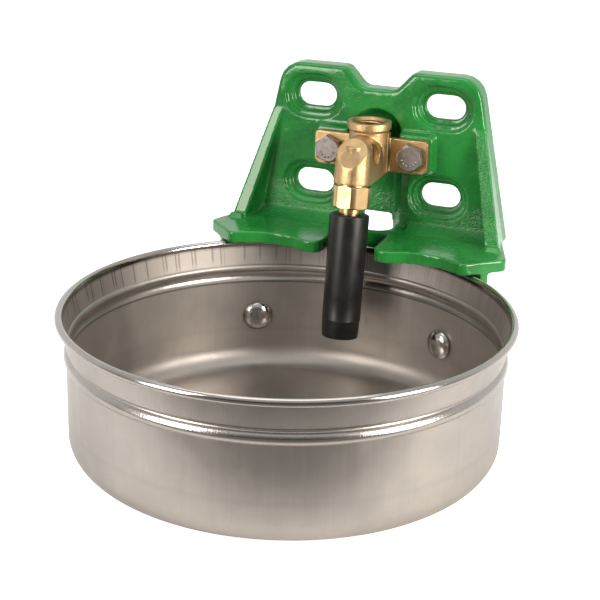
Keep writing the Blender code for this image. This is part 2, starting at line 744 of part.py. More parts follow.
def cut_pipe_way(bracket):
    """The channel behind the valve, its wide mouth below the pad, and the hole for a pipe from below."""
    crown = CHANNEL_TOP - CHANNEL_HALF
    floor_y = WALL_PLANE - CHANNEL_BACK_WALL
    shoulder_y = PLATE_FRONT + MOUTH_SHOULDER_DEPTH
    mouth_top = PAD_BOTTOM - PAD_DRAFT - CAST_STEP
    overlap = 2.0 * CAST_WALL
    cut(bracket, loft("channel", [
        ring_in_plane(arch(CHANNEL_HALF, CHANNEL_TOP, mouth_top - overlap), PAD_FRONT - overlap),
        ring_in_plane(arch(CHANNEL_HALF, CHANNEL_TOP, mouth_top - overlap), PLATE_FRONT),
        ring_in_plane(
            arch(CHANNEL_BACK_HALF, crown + CHANNEL_BACK_HALF, mouth_top - overlap), floor_y - CAST_STEP,
        ),
    ]))

    half_mouth = [
        (MOUTH_HALF, PLATE_FRONT - CAST_WALL, 0.0), (MOUTH_HALF, PLATE_FRONT, 0.0),
        (CHANNEL_HALF, shoulder_y, MOUTH_SHOULDER_RADIUS), (CHANNEL_BACK_HALF, floor_y, 0.0),
    ]
    mirrored = [(-x, y, radius) for x, y, radius in reversed(half_mouth)]
    mouth_bottom = SHELF_TOP + CAST_STEP
    mouth = plate("channel mouth", rounded(half_mouth + mirrored), mouth_top - mouth_bottom)
    mouth.location = (0.0, 0.0, (mouth_top + mouth_bottom) / 2.0)
    cut(bracket, mouth)

    levels = (
        (0.0, -0.02), (0.0, -SHELF_FILLET), (0.3 * SHELF_FILLET, -0.3 * SHELF_FILLET),
        (SHELF_FILLET, 0.0), (SHELF_FILLET, 2.0 * CAST_STEP),
    )
    rings = []
    for grow, height in levels:
        back_half = PIPE_EXIT_HALF + CAST_STEP + grow
        half_hole = [
            (back_half, WALL_PLANE + CAST_WALL, 0.0), (back_half, floor_y, 0.0),
            (PIPE_HOLE_HALF + grow, PLATE_INSIDE, 0.0),
            (PIPE_HOLE_HALF + grow, PIPE_HOLE_FRONT - grow, PIPE_HOLE_CORNER + grow),
        ]
        mirrored = [(-x, y, radius) for x, y, radius in reversed(half_hole)]
        rings.append([(x, y, SHELF_TOP + height) for x, y in rounded(half_hole + mirrored, 5)])
    cut(bracket, loft("pipe hole", rings))
    cut(bracket, box(
        "pipe exit", (-PIPE_EXIT_HALF, PLATE_FRONT, PLATE_FOOT - CAST_WALL),
        (PIPE_EXIT_HALF, WALL_PLANE + CAST_WALL, PIPE_EXIT_TOP),
    ))


def build_bracket():
    bracket = cast_shell()

    for x, z, place in slot_places():
        boss = plate(f"slot boss {place}", obround(POCKET_WIDTH + 2.0 * SLOT_FLOOR, POCKET_HEIGHT + 2.0 * SLOT_FLOOR),
                     POCKET_DEPTH + SLOT_FLOOR - CAST_WALL / 2.0)
        boss_mid = PLATE_FRONT + (CAST_WALL / 2.0 + POCKET_DEPTH + SLOT_FLOOR) / 2.0
        join(bracket, upright(boss, boss_mid, x, z))

    pad_mid = (PAD_BOTTOM + PAD_TOP) / 2.0
    pad_rings = []
    for grow, y in ((PAD_DRAFT, PLATE_INSIDE + CAST_STEP), (PAD_DRAFT, PLATE_FRONT), (0.0, PAD_FRONT)):
        corner_x = PAD_HALF + grow
        corner_z = (PAD_TOP - PAD_BOTTOM) / 2.0 + grow
        outline = rounded([
            (corner_x, corner_z, 0.0025), (-corner_x, corner_z, 0.0025),
            (-corner_x, -corner_z, 0.0025), (corner_x, -corner_z, 0.0025),
        ], 2)
        pad_rings.append(ring_in_plane(outline, y, 0.0, pad_mid))
    join(bracket, loft("valve pad", pad_rings))

    outer = CHANNEL_HALF + CAST_WALL
    outer_back = CHANNEL_BACK_HALF + CAST_WALL
    crown = CHANNEL_TOP - CHANNEL_HALF
    trough_bottom = PLATE_FOOT + CAST_STEP
    trough = loft("channel trough", [
        ring_in_plane(arch(outer, crown + outer, trough_bottom), PLATE_FRONT + CAST_WALL / 2.0),
        ring_in_plane(arch(outer_back, crown + outer_back, trough_bottom), WALL_PLANE),
    ])
    join(bracket, trough)

    join(bracket, shelf())
    for side in (-1, 1):
        join(bracket, gusset(side))
        join(bracket, gusset_toe(side))
        join(bracket, root_fillet(side))

    sweep = SKIRT_HALF_ANGLE
    skirt_top = SHELF_BOTTOM + SHELF_THICKNESS / 2.0
    outline = arc(0.0, 0.0, SKIRT_OUTER, 90.0 - sweep, 90.0 + sweep, 16)
    outline += arc(0.0, 0.0, SKIRT_INNER, 90.0 + sweep, 90.0 - sweep, 16)
    skirt = plate("skirt", outline, skirt_top - SKIRT_BOTTOM)
    skirt.location = (0.0, 0.0, (skirt_top + SKIRT_BOTTOM) / 2.0)
    join(bracket, skirt)

    rib_start = math.sqrt((SKIRT_INNER + SKIRT_OUTER) ** 2 / 4.0 - RIB_X ** 2)
    for side, word in ((-1, "left"), (1, "right")):
        join(bracket, radial_rod(f"bowl boss {word}", side, BOWL_BOSS_RADIUS, BOSS_START, BOSS_END))
        rib_outline = [
            (PLATE_INSIDE, SHELF_TOP - CAST_STEP), (rib_start, SHELF_BOTTOM + CAST_STEP),
            (rib_start, RIB_FOOT), (WALL_PLANE - CAST_STEP, PLATE_FOOT + CAST_WALL / 2.0),
        ]
        join(bracket, across(plate(f"rib {word}", rib_outline, RIB_THICKNESS), side * RIB_X))

    cut_pipe_way(bracket)
    for x, z, place in slot_places():
        step_margin = POCKET_MARGIN - POCKET_STEP
        depths = (
            (POCKET_MARGIN + 0.0010, -0.004), (POCKET_MARGIN + 0.0010, 0.0), (POCKET_MARGIN, POCKET_STEP_DEPTH),
            (step_margin, POCKET_STEP_DEPTH), (step_margin - 0.0005, POCKET_DEPTH), (0.0, POCKET_DEPTH),
            (0.0, PLATE_DEPTH + 0.01),
        )
        rings = []
        for margin, depth in depths:
            outline = obround(SLOT_WIDTH + 2.0 * margin, SLOT_HEIGHT + 2.0 * margin)
            rings.append(ring_in_plane(outline, PLATE_FRONT + depth, x, z))
        cut(bracket, loft(f"slot {place}", rings))

    for side, word in ((-1, "left"), (1, "right")):
        x = side * VALVE_BOLT_X
        cut(bracket, rod(
            f"valve bolt hole {word}", VALVE_BOLT_RADIUS + BOLT_PLAY,
            (x, PAD_FRONT - 0.01, VALVE_BOLT_Z), (x, WALL_PLANE, VALVE_BOLT_Z), 16,
        ))
        cut(bracket, rod(
            f"nut recess {word}", VALVE_WASHER_RADIUS + NUT_RECESS_PLAY,
            (x, VALVE_NUT_SEAT, VALVE_BOLT_Z), (x, WALL_PLANE + 0.01, VALVE_BOLT_Z),
        ))
        cut(bracket, radial_rod(
            f"bowl bolt hole {word}", side, BOWL_BOLT_RADIUS + BOLT_PLAY,
            BOSS_START - 0.01, BOSS_END + 0.01, 16,
        ))


# Valve bolts, along +Y through flange and pad

FLANGE_BACK = PAD_FRONT - SEAT_GAP
FLANGE_FRONT = FLANGE_BACK - FLANGE_THICKNESS
HEAD_BACK = FLANGE_FRONT - SEAT_GAP
VALVE_BOLT_END = HEAD_BACK + VALVE_BOLT_LENGTH
VALVE_NUT_SEAT = (
    VALVE_BOLT_END - THREAD_END + 0.001 - VALVE_NUT_HEIGHT - VALVE_WASHER_THICKNESS - 2.0 * SEAT_GAP
)


def build_valve_fasteners():
    for side, word in ((-1, "left"), (1, "right")):
        along = Matrix.Translation((side * VALVE_BOLT_X, 0.0, VALVE_BOLT_Z))
        along = along @ Matrix.Rotation(math.radians(-90.0), 4, "X")
        face = HEAD_BACK - VALVE_BOLT_HEAD
        corner = VALVE_BOLT_FLATS / 2.0 / math.cos(math.radians(30.0))
        profile = [
            (0.0, VALVE_BOLT_END), (VALVE_BOLT_RADIUS - 0.001, VALVE_BOLT_END),
            (VALVE_BOLT_RADIUS, VALVE_BOLT_END - 0.001), (VALVE_BOLT_RADIUS, HEAD_BACK),
            (corner, HEAD_BACK), (corner, face + 0.001),
            (VALVE_BOLT_FLATS / 2.0 * 0.95, face), (0.0, face),
        ]
        bolt = turned(f"valve_bolt_{word}", profile, 24, ZINC_STEEL)
        blank = hex_prism(f"valve bolt blank {word}", VALVE_BOLT_FLATS, face - 0.01, VALVE_BOLT_END + 0.01, 90.0)
        boolean(bolt, blank, "INTERSECT")
        start = VALVE_NUT_SEAT + SEAT_GAP
        ring = washer(
            f"valve_washer_{word}", VALVE_WASHER_RADIUS, VALVE_BOLT_RADIUS + SEAT_GAP,
            start, VALVE_WASHER_THICKNESS, 20, ZINC_STEEL,
        )
        nut, nut_bore = hex_nut(
            f"valve_nut_{word}", VALVE_BOLT_FLATS, VALVE_NUT_HEIGHT, VALVE_BOLT_RADIUS + SEAT_GAP,
            start + VALVE_WASHER_THICKNESS + SEAT_GAP, ZINC_STEEL,
        )
        for piece in (bolt, blank, ring, nut, nut_bore):
            piece.matrix_world = along


# Valve body

OUTLET = Matrix.Translation((0.0, OUTLET_Y, OUTLET_Z)) @ Matrix.Rotation(-OUTLET_TILT, 4, "X")


def outlet_point(height, x=0.0, y=0.0):
    return OUTLET @ Vector((x, y, height))


def valve_form():
    """The casting's outside: outlet barrel, dome and the link back to the inlet, as one skin."""
    bm = bmesh.new()
    bmesh.ops.create_circle(bm, segments=36, radius=OUTLET_RADIUS, matrix=OUTLET)
    bmesh.ops.create_uvsphere(
        bm, u_segments=24, v_segments=12, radius=DOME_RADIUS,
        matrix=OUTLET @ Matrix.Translation((0.0, 0.0, DOME_CENTRE)),
    )
    back = Matrix.Translation((0.0, INLET_Y, LINK_HEIGHT)) @ Matrix.Rotation(math.radians(90.0), 4, "X")
    bmesh.ops.create_circle(bm, segments=28, radius=LINK_RADIUS, matrix=back)
    for side in (-1, 1):
        bm.verts.new((side * INLET_BOSS_RADIUS * 0.98, INLET_Y, FLANGE_BOTTOM))
    return hull("valve_body", bm, CAST_BRASS)


def build_valve_body():
    body = valve_form()
    boss_bottom = FLANGE_BOTTOM + 3.0 * CAST_STEP

    boss_profile = [
        (0.0, INLET_TOP), (INLET_COLLAR_RADIUS - 0.0005, INLET_TOP), (INLET_COLLAR_RADIUS, INLET_TOP - 0.0005),
        (INLET_COLLAR_RADIUS, INLET_TOP - INLET_COLLAR_HEIGHT),
        (INLET_BOSS_RADIUS, INLET_TOP - INLET_COLLAR_HEIGHT - 0.0005),
        (INLET_BOSS_RADIUS, boss_bottom), (0.0, boss_bottom),
    ]
    boss = turned("inlet boss", boss_profile, 36)
    boss.location = (0.0, INLET_Y, 0.0)
    join(body, boss)

    flange_outline = rounded([
        (FLANGE_HALF, FLANGE_TOP, 0.0025), (-FLANGE_HALF, FLANGE_TOP, 0.0025),
        (-FLANGE_HALF, FLANGE_BOTTOM + CAST_STEP, 0.0045), (FLANGE_HALF, FLANGE_BOTTOM + CAST_STEP, 0.0045),
    ])
    flange = plate("flange", flange_outline, FLANGE_THICKNESS)
    join(body, upright(flange, (FLANGE_FRONT + FLANGE_BACK) / 2.0))
    shoulder_top = INLET_TOP - INLET_COLLAR_HEIGHT - 0.0025
    join(body, box(
        "shoulder", (-INLET_BOSS_RADIUS - CAST_STEP, INLET_Y - CAST_STEP, FLANGE_BOTTOM + 2.0 * CAST_STEP),
        (INLET_BOSS_RADIUS + CAST_STEP, FLANGE_FRONT + 0.001, shoulder_top),
    ))

    spot = box("cast spot", (-SPOT_TOOL, -SPOT_TOOL, -SPOT_TOOL), (SPOT_TOOL, 0.0, SPOT_TOOL))
    spot_place = OUTLET @ Matrix.Translation((0.0, -SPOT_HALF, DOME_CENTRE + 0.002))
    spot.matrix_world = spot_place @ Matrix.Rotation(-SPOT_LEAN, 4, "X")
    cut(body, spot)

    cut(body, rod(
        "inlet bore", INLET_BORE_RADIUS, (0.0, INLET_Y, INLET_TOP - INLET_BORE_DEPTH),
        (0.0, INLET_Y, INLET_TOP + 0.005), 32,
    ))
    cut(body, rod("socket", SOCKET_RADIUS, outlet_point(-0.002), outlet_point(SOCKET_DEPTH), 32))
    cut(body, rod("chamber", CHAMBER_RADIUS, outlet_point(SOCKET_DEPTH - 0.001), outlet_point(CHAMBER_TOP)))
    cut(body, rod("passage", PASSAGE_RADIUS, (0.0, INLET_Y, PLUG_Z), (0.0, PLUG_Y - 0.008, PLUG_Z), 16))
    cut(body, rod(
        "plug bore", PLUG_STEM_RADIUS + SEAT_GAP, (-PLUG_STEM_END - SEAT_GAP, PLUG_Y, PLUG_Z),
        (PLUG_HEAD_BACK + 0.001, PLUG_Y, PLUG_Z), 24,
    ))
    cut(body, rod(
        "plug head bore", PLUG_HEAD_RADIUS + SEAT_GAP, (PLUG_HEAD_BACK, PLUG_Y, PLUG_Z),
        (INLET_BOSS_RADIUS + 0.006, PLUG_Y, PLUG_Z), 28,
    ))
    for side, word in ((-1, "left"), (1, "right")):
        x = side * VALVE_BOLT_X
        cut(body, rod(
            f"flange hole {word}", VALVE_BOLT_RADIUS + BOLT_PLAY,
            (x, FLANGE_FRONT - 0.01, VALVE_BOLT_Z), (x, FLANGE_BACK + 0.01, VALVE_BOLT_Z), 16,
        ))


# Flow plug: a quarter turn brings its cross hole out of line with the passage

def build_flow_plug():
    pivot = add_empty("flow_plug_axis", None, (0.0, PLUG_Y, PLUG_Z), (0.0, math.radians(90.0), 0.0))
    head_start = PLUG_HEAD_BACK + SEAT_GAP
    head_end = head_start + PLUG_HEAD_THICKNESS
    groove = 2.0 * PLUG_RING_RADIUS
    groove_floor = PLUG_STEM_RADIUS - groove + 0.0001
    groove_top = head_start - 0.0012
    groove_low = groove_top - groove - 2.0 * SEAT_GAP
    profile = [
        (0.0, head_end), (PLUG_HEAD_RADIUS - 0.0004, head_end), (PLUG_HEAD_RADIUS, head_end - 0.0004),
        (PLUG_HEAD_RADIUS, head_start), (PLUG_STEM_RADIUS, head_start), (PLUG_STEM_RADIUS, groove_top),
        (groove_floor, groove_top), (groove_floor, groove_low), (PLUG_STEM_RADIUS, groove_low),
        (PLUG_STEM_RADIUS, -PLUG_STEM_END), (0.0, -PLUG_STEM_END),
    ]
    plug = turned("flow_plug", profile, 20, TURNED_BRASS)
    plug.parent = pivot
    hole = rod("plug hole", PLUG_HOLE_RADIUS, (0.0, -0.01, 0.0), (0.0, 0.01, 0.0), 16)
    hole.parent = pivot
    cut(plug, hole)
    slot = box(
        "plug slot", (-PLUG_SLOT_WIDTH / 2.0, -PLUG_HEAD_RADIUS - 0.001, head_end - PLUG_SLOT_DEPTH),
        (PLUG_SLOT_WIDTH / 2.0, PLUG_HEAD_RADIUS + 0.001, head_end + 0.001),
    )
    slot.parent = pivot
    slot.rotation_euler = (0.0, 0.0, math.radians(90.0 + PLUG_SLOT_ANGLE))
    cut(plug, slot)

    ring_mid = (groove_top + groove_low) / 2.0
    section = arc(groove_floor + 0.0001 + PLUG_RING_RADIUS, ring_mid, PLUG_RING_RADIUS, 90.0, -225.0, 7)
    ring = turned("flow_plug_ring", section, 20, BLACK_RUBBER, ring=True)
    ring.parent = pivot


# Outlet nut, seat ring and pivot ring, about the leaning outlet axis

SPIGOT_RADIUS = POCKET_RADIUS + SPIGOT_WALL
SPIGOT_TOP = SPIGOT_LENGTH
SEAT_BOTTOM = SPIGOT_TOP + SEAT_GAP
SEAT_TOP = SOCKET_DEPTH - SEAT_GAP
PIVOT_RING_OUTER = POCKET_RADIUS - SEAT_GAP
PIVOT_RING_INNER = PIVOT_RING_OUTER - PIVOT_RING_WALL
BALL_RADIUS = PIVOT_RING_INNER - SEAT_GAP


def sphere_radius_at(sphere, drop):
    return math.sqrt(sphere ** 2 - drop ** 2)


def sphere_profile(sphere, start, end, steps):
    """Points on a sphere about the pivot, by height above it."""
    points = []
    for i in range(steps + 1):
        height = start + (end - start) * i / steps
        points.append((sphere_radius_at(sphere, height), height - PIVOT_DEPTH))
    return points


def build_outlet_nut(outlet):
    top = -NUT_TOP
    bottom = top - NUT_LENGTH
    profile = [
        (SPIGOT_RADIUS, SPIGOT_TOP), (SPIGOT_RADIUS, top), (NUT_TURNED_RADIUS - NUT_CHAMFER, top),
        (NUT_TURNED_RADIUS, top - NUT_CHAMFER), (NUT_TURNED_RADIUS, bottom + NUT_CHAMFER),
        (NUT_TURNED_RADIUS - NUT_CHAMFER, bottom), (NUT_MOUTH_RADIUS, bottom),
    ]
    profile += sphere_profile(POCKET_RADIUS, -POCKET_LIP, 0.0, 5)
    profile.append((POCKET_RADIUS, SPIGOT_TOP))
    nut = turned("outlet_nut", profile, 32, TURNED_BRASS, ring=True)
    nut.parent = outlet
    blank = hex_prism("outlet nut blank", NUT_FLATS, bottom - 0.01, SPIGOT_TOP + 0.01, NUT_TURN)
    blank.parent = outlet
    boolean(nut, blank, "INTERSECT")


def build_seat_ring(outlet):
    rim = SOCKET_RADIUS - SEAT_GAP
    profile = [(rim, SEAT_TOP), (rim, SEAT_BOTTOM), (SEAT_HOLE_RADIUS, SEAT_BOTTOM), (SEAT_HOLE_RADIUS, SEAT_TOP)]
    seat = turned("seat_ring", profile, 24, WHITE_ACETAL, ring=True)
    seat.parent = outlet


def build_pivot_ring(outlet):
    """The ring rocks about X in the nut's spherical pocket, and the tube's ball rocks in it."""
    rock = add_empty("tilt_axis_x", outlet, (0.0, 0.0, -PIVOT_DEPTH))
    profile = sphere_profile(PIVOT_RING_OUTER, -PIVOT_RING_TOP, -PIVOT_RING_BOTTOM, 3)
    profile += sphere_profile(PIVOT_RING_INNER, -PIVOT_RING_BOTTOM, -PIVOT_RING_TOP, 3)
    ring = turned("pivot_ring", [(r, z + PIVOT_DEPTH) for r, z in profile], 24, WHITE_ACETAL, ring=True)
    ring.parent = rock
    return rock


# Plunger, its seal and the spring above it

def build_plunger(outlet):
    slide = add_empty("plunger_axis", outlet)
    seal_low = SEAT_TOP + SEAT_GAP
    seal_top = seal_low + PLUNGER_SEAL_THICKNESS
    disc_low = seal_top + SEAT_GAP
    disc_top = disc_low + PLUNGER_DISC_THICKNESS
    foot_low = -PIVOT_DEPTH + HEAD_FLAT + PLUNGER_LASH
    foot_top = foot_low + PLUNGER_FOOT_THICKNESS
    guide_top = disc_top + PLUNGER_GUIDE_LENGTH
    guide_radius = SPRING_RADIUS - SPRING_WIRE_RADIUS - SEAT_GAP
    profile = [
        (0.0, guide_top), (guide_radius, guide_top), (guide_radius, disc_top),
        (PLUNGER_DISC_RADIUS, disc_top), (PLUNGER_DISC_RADIUS, disc_low),
        (PLUNGER_STEM_RADIUS, disc_low), (PLUNGER_STEM_RADIUS, foot_top),
        (PLUNGER_FOOT_RADIUS, foot_top), (PLUNGER_FOOT_RADIUS, foot_low), (0.0, foot_low),
    ]
    plunger = turned("plunger", profile, 20, TURNED_BRASS)
    plunger.parent = slide
    seal = washer(
        "plunger_seal", PLUNGER_DISC_RADIUS, PLUNGER_STEM_RADIUS + SEAT_GAP,
        seal_low, PLUNGER_SEAL_THICKNESS, 20, BLACK_RUBBER,
    )
    seal.parent = slide
    build_spring(outlet, disc_top + SEAT_GAP, CHAMBER_TOP - SEAT_GAP)


def build_spring(outlet, low, high):
    start = low + SPRING_WIRE_RADIUS
    rise = high - low - 2.0 * SPRING_WIRE_RADIUS
    per_turn = 10
    count = SPRING_TURNS * per_turn + 1
    curve = bpy.data.curves.new("valve_spring", "CURVE")
    curve.dimensions = "3D"
    curve.bevel_depth = SPRING_WIRE_RADIUS
    curve.bevel_resolution = 2
    curve.use_fill_caps = True
    spline = curve.splines.new("POLY")
    spline.points.add(count - 1)
    for i, point in enumerate(spline.points):
        angle = 2.0 * math.pi * i / per_turn
        height = start + rise * i / (count - 1)
        point.co = (SPRING_RADIUS * math.cos(angle), SPRING_RADIUS * math.sin(angle), height, 1.0)
    spring = bpy.data.objects.new("valve_spring", curve)
    PARTS.objects.link(spring)
    paint(spring, ZINC_STEEL)
    spring.parent = outlet


# Outlet tube and sleeve, both on the ball's centre

def build_tube(rock):
    swing = add_empty("tilt_axis_y", rock)
    neck_drop = math.sqrt(BALL_RADIUS ** 2 - NECK_RADIUS ** 2)
    lift = PIVOT_DEPTH
    collar_top = lift - COLLAR_TOP
    collar_bottom = collar_top - COLLAR_LENGTH
    sleeve_top = collar_bottom - SEAT_GAP
    sleeve_bottom = sleeve_top - SLEEVE_LENGTH
    shank_end = sleeve_bottom + SHANK_RECESS
    ball = [(r, z + PIVOT_DEPTH) for r, z in sphere_profile(BALL_RADIUS, HEAD_FLAT, -neck_drop, 8)]
    profile = ball + [
        (NECK_RADIUS, collar_top), (COLLAR_RADIUS, collar_top), (COLLAR_RADIUS, collar_bottom),
        (SHANK_RADIUS, collar_bottom), (SHANK_RADIUS, shank_end), (TUBE_BORE_RADIUS, shank_end),
        (TUBE_BORE_RADIUS, 0.0), (HEAD_ORIFICE, 0.001), (HEAD_ORIFICE, HEAD_FLAT),
    ]
    tube = turned("outlet_tube", profile, 24, TURNED_BRASS, ring=True)
    tube.parent = swing

    bore = SHANK_RADIUS + SEAT_GAP
    seam = sleeve_bottom + SLEEVE_TIP_LENGTH
    edge = arc(SLEEVE_TOP_RADIUS - SLEEVE_EDGE, sleeve_top - SLEEVE_EDGE, SLEEVE_EDGE, 90.0, 0.0, 4)
    tip_edge = SLEEVE_EDGE * 0.6
    sleeve_profile = edge + [
        (SLEEVE_SEAM_RADIUS, seam), (SLEEVE_SEAM_RADIUS - SLEEVE_SEAM_STEP, seam - SLEEVE_SEAM_STEP),
    ]
    sleeve_profile += arc(SLEEVE_TIP_RADIUS - tip_edge, sleeve_bottom + tip_edge, tip_edge, 0.0, -90.0, 3)
    sleeve_profile += [(bore, sleeve_bottom), (bore, sleeve_top)]
    sleeve = turned("rubber_sleeve", sleeve_profile, 32, BLACK_RUBBER, ring=True)
    sleeve.parent = swing


build_bowl()
build_bowl_fasteners()
build_bracket()
build_valve_fasteners()
build_valve_body()
build_flow_plug()
OUTLET_AXIS = add_empty("outlet_axis", None, (0.0, OUTLET_Y, OUTLET_Z), (-OUTLET_TILT, 0.0, 0.0))
build_outlet_nut(OUTLET_AXIS)
build_seat_ring(OUTLET_AXIS)
build_plunger(OUTLET_AXIS)
build_tube(build_pivot_ring(OUTLET_AXIS))
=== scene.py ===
import json
import math

import bmesh
import bpy
from mathutils import Matrix, Vector, noise


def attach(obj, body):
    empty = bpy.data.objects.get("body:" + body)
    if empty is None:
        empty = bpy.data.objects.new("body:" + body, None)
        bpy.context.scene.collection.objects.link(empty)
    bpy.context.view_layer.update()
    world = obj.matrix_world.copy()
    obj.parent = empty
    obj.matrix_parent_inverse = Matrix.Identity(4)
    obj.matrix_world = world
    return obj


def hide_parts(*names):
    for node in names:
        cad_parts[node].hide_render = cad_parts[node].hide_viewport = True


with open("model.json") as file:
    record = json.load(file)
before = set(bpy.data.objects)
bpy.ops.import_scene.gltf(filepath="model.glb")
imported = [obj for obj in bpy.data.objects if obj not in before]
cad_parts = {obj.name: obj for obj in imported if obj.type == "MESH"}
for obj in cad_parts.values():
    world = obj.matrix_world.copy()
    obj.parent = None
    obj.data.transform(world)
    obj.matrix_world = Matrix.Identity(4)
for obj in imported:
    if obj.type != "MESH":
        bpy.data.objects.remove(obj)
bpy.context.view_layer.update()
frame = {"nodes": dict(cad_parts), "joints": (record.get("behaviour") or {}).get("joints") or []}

scene = bpy.context.scene

# Camera
# A long lens about 0.9 m off looks down on the drinker from its right, and leans a little.
CAMERA_AIM = Vector((0.00184, 0.01668, 0.09113))
CAMERA_AZIMUTH = math.radians(20.6819)
CAMERA_ELEVATION = math.radians(19.9699)
CAMERA_ROLL = math.radians(1.507)
CAMERA_DISTANCE = 0.8961
CAMERA_LENS = 87.05

camera_data = bpy.data.cameras.new("camera")
camera_data.lens = CAMERA_LENS
camera_data.sensor_width = 36.0
camera_data.clip_start = 0.05
camera = bpy.data.objects.new("camera", camera_data)
scene.collection.objects.link(camera)
camera_turn = (
    Matrix.Rotation(CAMERA_AZIMUTH, 4, "Z")
    @ Matrix.Rotation(math.radians(90.0) - CAMERA_ELEVATION, 4, "X")
    @ Matrix.Rotation(CAMERA_ROLL, 4, "Z")
)
camera_back = camera_turn.to_3x3() @ Vector((0.0, 0.0, 1.0))
camera.matrix_world = Matrix.Translation(CAMERA_AIM + camera_back * CAMERA_DISTANCE) @ camera_turn
scene.camera = camera
scene.view_settings.view_transform = "Standard"

# Studio
# The drinker stands on a white table in front of a white cove. Two upright soft boxes stand low to
# its left and right and one hangs overhead. The room behind the camera is darker, and so is the
# table in front of the pool of light, so the drawn steel and the enamel have something to mirror.
# A soft box is its place, its width and height, its power and its colour.
FLOOR_SIZE = 6.0
BACKWARDS = (-0.353, 0.935, 0.0)
SIDEWAYS = (0.935, 0.353, 0.0)
ROOM_FRONT = 0.09
ROOM_BACK = 0.60
ROOM_TOP = 0.70
POOL_DEPTH = 0.185
POOL_WIDTH = 0.60
TABLE_WHITE = 0.85
TABLE_SHADE = 0.16
SOFT_BOXES = {
    "left": ((-0.50, -0.80, 0.40), (0.40, 0.75), 9.0, (1.0, 0.93, 0.87)),
    "right": ((0.92, -0.22, 0.34), (0.42, 0.66), 13.0, (1.0, 0.92, 0.85)),
    "top": ((-0.10, 0.15, 1.10), (0.80, 0.80), 3.5, (1.0, 1.0, 1.0)),
}
LAMP_AIM = Vector((0.0, 0.03, 0.10))
BACKDROP_START = -0.05
BACKDROP_FULL = 0.25
BACKDROP_MIRRORED = 0.4
TABLE_SEEN = 0.82

for name, (place, size, power, colour) in SOFT_BOXES.items():
    lamp_data = bpy.data.lights.new(f"soft_box_{name}", "AREA")
    lamp_data.shape = "RECTANGLE"
    lamp_data.energy = power
    lamp_data.size = size[0]
    lamp_data.size_y = size[1]
    lamp_data.color = colour
    lamp = bpy.data.objects.new(f"soft_box_{name}", lamp_data)
    scene.collection.objects.link(lamp)
    away = Vector(place) - LAMP_AIM
    lamp.matrix_world = Matrix.Translation(place) @ away.to_track_quat("Z", "Y").to_matrix().to_4x4()


def remap(tree, value, low, high, to_low=0.0, to_high=1.0, smooth=False):
    node = tree.nodes.new("ShaderNodeMapRange")
    if smooth:
        node.interpolation_type = "SMOOTHSTEP"
    node.inputs["From Min"].default_value = low
    node.inputs["From Max"].default_value = high
    node.inputs["To Min"].default_value = to_low
    node.inputs["To Max"].default_value = to_high
    tree.links.new(value, node.inputs["Value"])
    return node.outputs["Result"]


def arithmetic(tree, operation, first, second=0.0):
    """A Math node on two values, each a socket or a number."""
    node = tree.nodes.new("ShaderNodeMath")
    node.operation = operation
    for socket, value in zip(node.inputs, (first, second)):
        if isinstance(value, (int, float)):
            socket.default_value = value
        else:
            tree.links.new(value, socket)
    return node.outputs["Value"]


def product(tree, result, *others):
    """Multiply two or more values, each a socket or a number."""
    for other in others:
        result = arithmetic(tree, "MULTIPLY", result, other)
    return result


def near(tree, value, middle, edge, full):
    """1 where a value is within one distance of the middle, 0 past a larger one."""
    distance = arithmetic(tree, "ABSOLUTE", arithmetic(tree, "SUBTRACT", value, middle))
    return remap(tree, distance, edge, full)


def between(tree, value, low, low_full, high_full, high):
    """1 between the two inner limits, falling to 0 at the outer ones."""
    return product(tree, remap(tree, value, low, low_full), remap(tree, value, high, high_full))


def share_of(tree, factor, first, second):
    """Go from a first value to a second one as the factor goes from 0 to 1."""
    node = tree.nodes.new("ShaderNodeMix")
    tree.links.new(factor, node.inputs["Factor"])
    for socket, value in ((node.inputs["A"], first), (node.inputs["B"], second)):
        if isinstance(value, (int, float)):
            socket.default_value = value
        else:
            tree.links.new(value, socket)
    return node.outputs["Result"]


def along_axis(tree, vector, axis):
    node = tree.nodes.new("ShaderNodeVectorMath")
    node.operation = "DOT_PRODUCT"
    node.inputs[1].default_value = axis
    tree.links.new(vector, node.inputs[0])
    return node.outputs["Value"]


world = bpy.data.worlds.new("white_cove")
world.use_nodes = True
scene.world = world
tree = world.node_tree
background = tree.nodes["Background"]
background.inputs["Color"].default_value = (1.0, 1.0, 1.0, 1.0)
direction = tree.nodes.new("ShaderNodeTexCoord").outputs["Generated"]
overhead = remap(tree, along_axis(tree, direction, (0.0, 0.0, 1.0)), 0.25, 0.90, smooth=True)
behind = along_axis(tree, direction, BACKWARDS)
lighting = share_of(tree, overhead, remap(tree, behind, -0.70, 0.60, ROOM_FRONT, ROOM_BACK), ROOM_TOP)
mirrored = share_of(tree, overhead, remap(tree, behind, -0.50, 0.40, ROOM_FRONT, 1.0), ROOM_TOP)
paths = tree.nodes.new("ShaderNodeLightPath")
seen = share_of(tree, paths.outputs["Is Glossy Ray"], lighting, mirrored)
straight = arithmetic(tree, "MAXIMUM", paths.outputs["Is Camera Ray"], paths.outputs["Is Transmission Ray"])
tree.links.new(share_of(tree, straight, seen, 1.0), background.inputs["Strength"])

